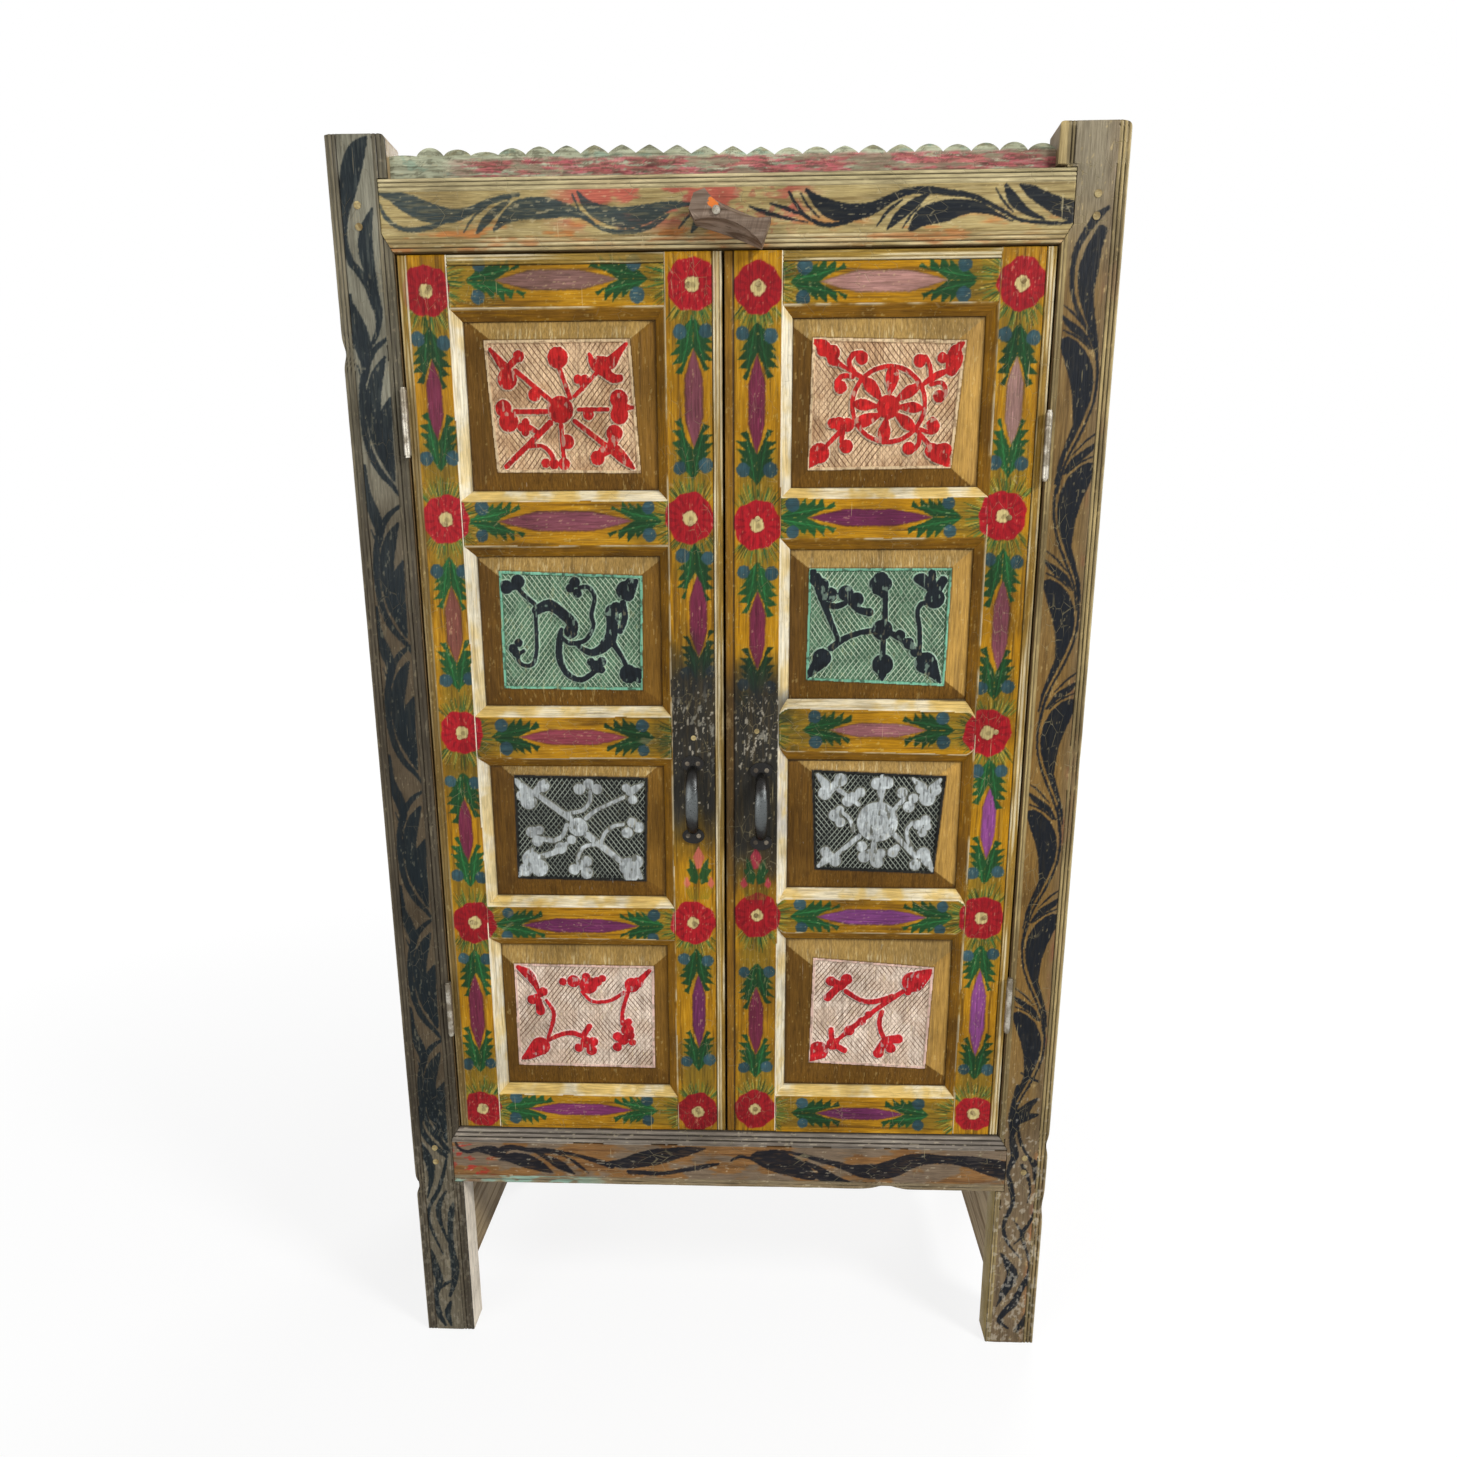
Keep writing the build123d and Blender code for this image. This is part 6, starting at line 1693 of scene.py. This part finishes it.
def make_panel(side, row):
    """A panel: its slopes, its carved field and its grain; the rows count from the top down."""
    sign = SIGN[side]
    rail_above, rail_below = RAIL_FACES[side][5 - row], RAIL_FACES[side][4 - row]
    z_span = (rail_below[1] + BEVEL - TUCK, rail_above[0] - BEVEL + TUCK)
    inner = STILES[(side, "inner")][1] + BEVEL
    outer = STILES[(side, "outer")][0] - BEVEL
    x_span = tuple(sorted((sign * (inner - TUCK), sign * (outer + TUCK))))
    corners = FIELDS[(side, row)]
    field_x, field_z = ((min(places) - 1, max(places) + 1) for places in zip(*corners))
    seed = 70 + 2 * row + (side == "right")
    canvas = Canvas(field_steps(x_span, field_x), field_steps(z_span, field_z), seed)
    x, z = canvas.x, canvas.z
    outside = to_outline(x, z, corners) + 0.5 * (clouds(x / 12, z / 12, seed + 2) - 0.5)
    to_rim = from_edges(x, z, x_span, z_span)
    slope = np.clip(outside / np.maximum(outside + to_rim, 1e-6), 0, 1)
    scrape = panel_slopes(canvas, side, corners, outside, slope)
    drop = carved_field(canvas, side, row, -outside)
    deep = BEVEL_DEPTH + 1.1 - FIELD_DEPTH
    canvas.depth += FIELD_DEPTH + deep * np.where(outside > 0, slope, 0) + 2.0 * drop
    canvas.depth += 0.5 * ease(0.55, 0.7, scrape) * (outside > 0)
    wear(canvas, rgb(214, 194, 140), 0.2 if row == 3 else 0.35)
    hand_made(canvas, 0.3)
    name = f"{side}_door_panel_{row}"
    slot_name = LOOKS[row]["slot"]
    board = closed_board(f"{name}_carved", canvas, DOOR_Y, PANEL_BACK, rgb(70, 50, 26), rgb(122, 94, 56))
    dress(board, FINISHES[slot_name], f"{side}_door", slot_name, name)


for side in SIGN:
    make_post(side)
    for which in ("outer", "inner"):
        make_stile(side, which)
    for index in range(len(RAIL_NAMES)):
        make_door_rail(side, index)
    for row in LOOKS:
        make_panel(side, row)
make_top_rail()
make_bottom_rail()
make_crest()

# Finishes of the pieces that keep their shape: the woods by the way of their grain, and the metals
RAW = {
    "x": bare_wood("raw_wood_across", "x", rgb(150, 122, 82), rgb(98, 74, 44)),
    "y": bare_wood("raw_wood_deep", "y", rgb(170, 148, 108), rgb(114, 92, 62)),
    "z": bare_wood("raw_wood_upright", "z", rgb(148, 118, 78), rgb(92, 70, 42)),
}
STEEL = old_metal("hinge_steel", rgb(184, 178, 164), rgb(120, 111, 95), rgb(70, 58, 44), 0.34, 0.75)
SCREW = old_metal("screw_steel", rgb(128, 119, 104), rgb(74, 66, 56), rgb(36, 30, 24), 0.42, 0.75)
ROD = old_metal("rail_steel", rgb(150, 143, 130), rgb(116, 108, 95), rgb(78, 68, 56), 0.36, 0.8,
                stretch=(0.05, 1, 1))
# the handles' bows are lighter at the front, rubbed and with a painted highlight
IRON = old_metal("handle_iron", rgb(100, 104, 104), rgb(44, 43, 42), rgb(30, 26, 24), 0.3, 0.9,
                 rubbed_and_sheen_y=(-0.2455, -0.2555))
LATCH = bare_wood("latch_wood", "x", rgb(150, 132, 116), rgb(92, 74, 60), 0.5,
                  chip=(-0.0109, -0.251, 1.6156))
PEG = bare_wood("peg_wood", "y", rgb(188, 170, 120), rgb(120, 100, 62), 0.55)
KEPT = {
    "x": ("rear_top_rail", "rear_bottom_rail", "door_stop_strip"),
    "y": ("left_side_bottom_rail", "right_side_bottom_rail", "left_side_top_rail", "right_side_top_rail",
          "board_cleats"),
    "z": ("left_rear_post", "right_rear_post"),
}
# Pieces of several boards: the way of the grain, the axis across the boards and their number
BOARDED = {
    "back_boards": ("z", "X", 5),
    "left_side_boards": ("z", "Y", 3),
    "right_side_boards": ("z", "Y", 3),
    "roof_boards": ("x", "Y", 4),
    "floor_boards": ("x", "Y", 4),
    "hat_shelf": ("x", "Y", 3),
}
DRESSED = {
    ROD: ("hanging_rail", "hanging_rail_sockets"),
    STEEL: ("frame_hinge_leaves", "hinge_pins", "latch_nail",
            "left_door_hinge_leaves", "right_door_hinge_leaves"),
    SCREW: ("frame_hinge_screws", "left_door_screws", "right_door_screws"),
    IRON: ("left_door_handle", "right_door_handle"),
    LATCH: ("turn_latch",),
    PEG: ("frame_pegs", "left_door_pegs", "right_door_pegs"),
}


def refinish(node, material):
    """Gives a solid that keeps its shape a finish."""
    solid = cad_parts[node]
    solid.data.materials.clear()
    solid.data.materials.append(material)


for grain, nodes in KEPT.items():
    for node in nodes:
        refinish(node, RAW[grain])
for node, (grain, axis, count) in BOARDED.items():
    refinish(node, bare_wood(node, grain, rgb(150, 121, 82), rgb(96, 73, 44), planks=(node, axis, count)))
for material, nodes in DRESSED.items():
    for node in nodes:
        refinish(node, material)

# Floor, light and camera


def seen_directly(tree):
    """1 where a thing is seen straight on, in a reflection or through glass, and 0 where it lights others."""
    path = new_node(tree, "ShaderNodeLightPath")
    total = path.outputs["Is Camera Ray"]
    for way in ("Is Glossy Ray", "Is Transmission Ray"):
        inputs = {0: total, 1: path.outputs[way]}
        total = new_node(tree, "ShaderNodeMath", inputs, operation="MAXIMUM").outputs[0]
    return total


def pale_floor():
    """A grey floor that shows the wardrobe's shadow near its feet and fades to white round it."""
    bpy.ops.mesh.primitive_plane_add(size=60, location=(0, 0, 0))
    floor = bpy.context.object
    floor.name = "floor"
    f = Finish("floor_pale")
    f.shader.inputs["Base Color"].default_value = (0.8, 0.8, 0.8, 1)
    f.shader.inputs["Roughness"].default_value = 0.9
    glow = f.node("ShaderNodeEmission", {"Color": (1, 1, 1, 1), "Strength": 1.04})
    away = f.node("ShaderNodeVectorMath", {0: f.place}, operation="LENGTH").outputs["Value"]
    share = f.times(seen_directly(f.tree), f.span(away, 0.9, 3.2, 0.8, 1.0, "LINEAR"))
    blend = f.node("ShaderNodeMixShader", {0: share, 1: f.shader.outputs[0], 2: glow.outputs[0]})
    out = next(n for n in f.tree.nodes if n.type == "OUTPUT_MATERIAL")
    put(f.tree, out.inputs["Surface"], blend.outputs[0])
    floor.data.materials.append(f.material)


def white_world():
    """White to the camera, and dimmer where it lights the wardrobe."""
    world = bpy.data.worlds.new("studio")
    bpy.context.scene.world = world
    world.use_nodes = True
    tree = world.node_tree
    tree.nodes.clear()
    inputs = {0: seen_directly(tree)}
    for key, strength in ((1, 0.34), (2, 1.0)):
        white = new_node(tree, "ShaderNodeBackground", {"Color": (1, 1, 1, 1), "Strength": strength})
        inputs[key] = white.outputs[0]
    blend = new_node(tree, "ShaderNodeMixShader", inputs)
    new_node(tree, "ShaderNodeOutputWorld", {"Surface": blend.outputs[0]})


def lamp(name, place, target, size, power):
    """A round lamp that looks at a target."""
    data = bpy.data.lights.new(name, "AREA")
    data.shape = "DISK"
    data.size = size
    data.energy = power
    made = bpy.data.objects.new(name, data)
    made.location = place
    made.rotation_euler = (Vector(target) - Vector(place)).to_track_quat("-Z", "Y").to_euler()
    bpy.context.scene.collection.objects.link(made)


pale_floor()
white_world()
# each lamp: its place, what it looks at, its width in metres and its power in watts
lamp("key", (2.6, -2.3, 3.1), (0.0, -0.2, 1.0), 1.0, 132)
lamp("fill", (-2.4, -3.4, 1.9), (0.0, -0.2, 0.9), 2.4, 55)
lamp("rear", (1.5, 3.4, 2.6), (0.0, 0.2, 0.9), 2.0, 80)

CAMERA_PLACE = (0.0601, -1.6648, 1.2017)
CAMERA_YAW = math.radians(-2.216)
CAMERA_PITCH = math.radians(14.738)
CAMERA_ROLL = math.radians(-0.178)
forward = Vector(
    (
        math.sin(CAMERA_YAW) * math.cos(CAMERA_PITCH),
        math.cos(CAMERA_YAW) * math.cos(CAMERA_PITCH),
        -math.sin(CAMERA_PITCH),
    )
)
level = Vector((math.cos(CAMERA_YAW), -math.sin(CAMERA_YAW), 0))
upward = level.cross(forward)
right = level * math.cos(CAMERA_ROLL) + upward * math.sin(CAMERA_ROLL)
up = upward * math.cos(CAMERA_ROLL) - level * math.sin(CAMERA_ROLL)
camera_data = bpy.data.cameras.new("camera")
camera_data.sensor_width = 36
camera_data.lens = 26.19
camera_data.shift_y = 0.0765
camera = bpy.data.objects.new("camera", camera_data)
camera.matrix_world = Matrix((*zip(right, up, -forward, CAMERA_PLACE), (0, 0, 0, 1)))
bpy.context.scene.collection.objects.link(camera)
bpy.context.scene.camera = camera
bpy.context.scene.view_settings.view_transform = "Standard"
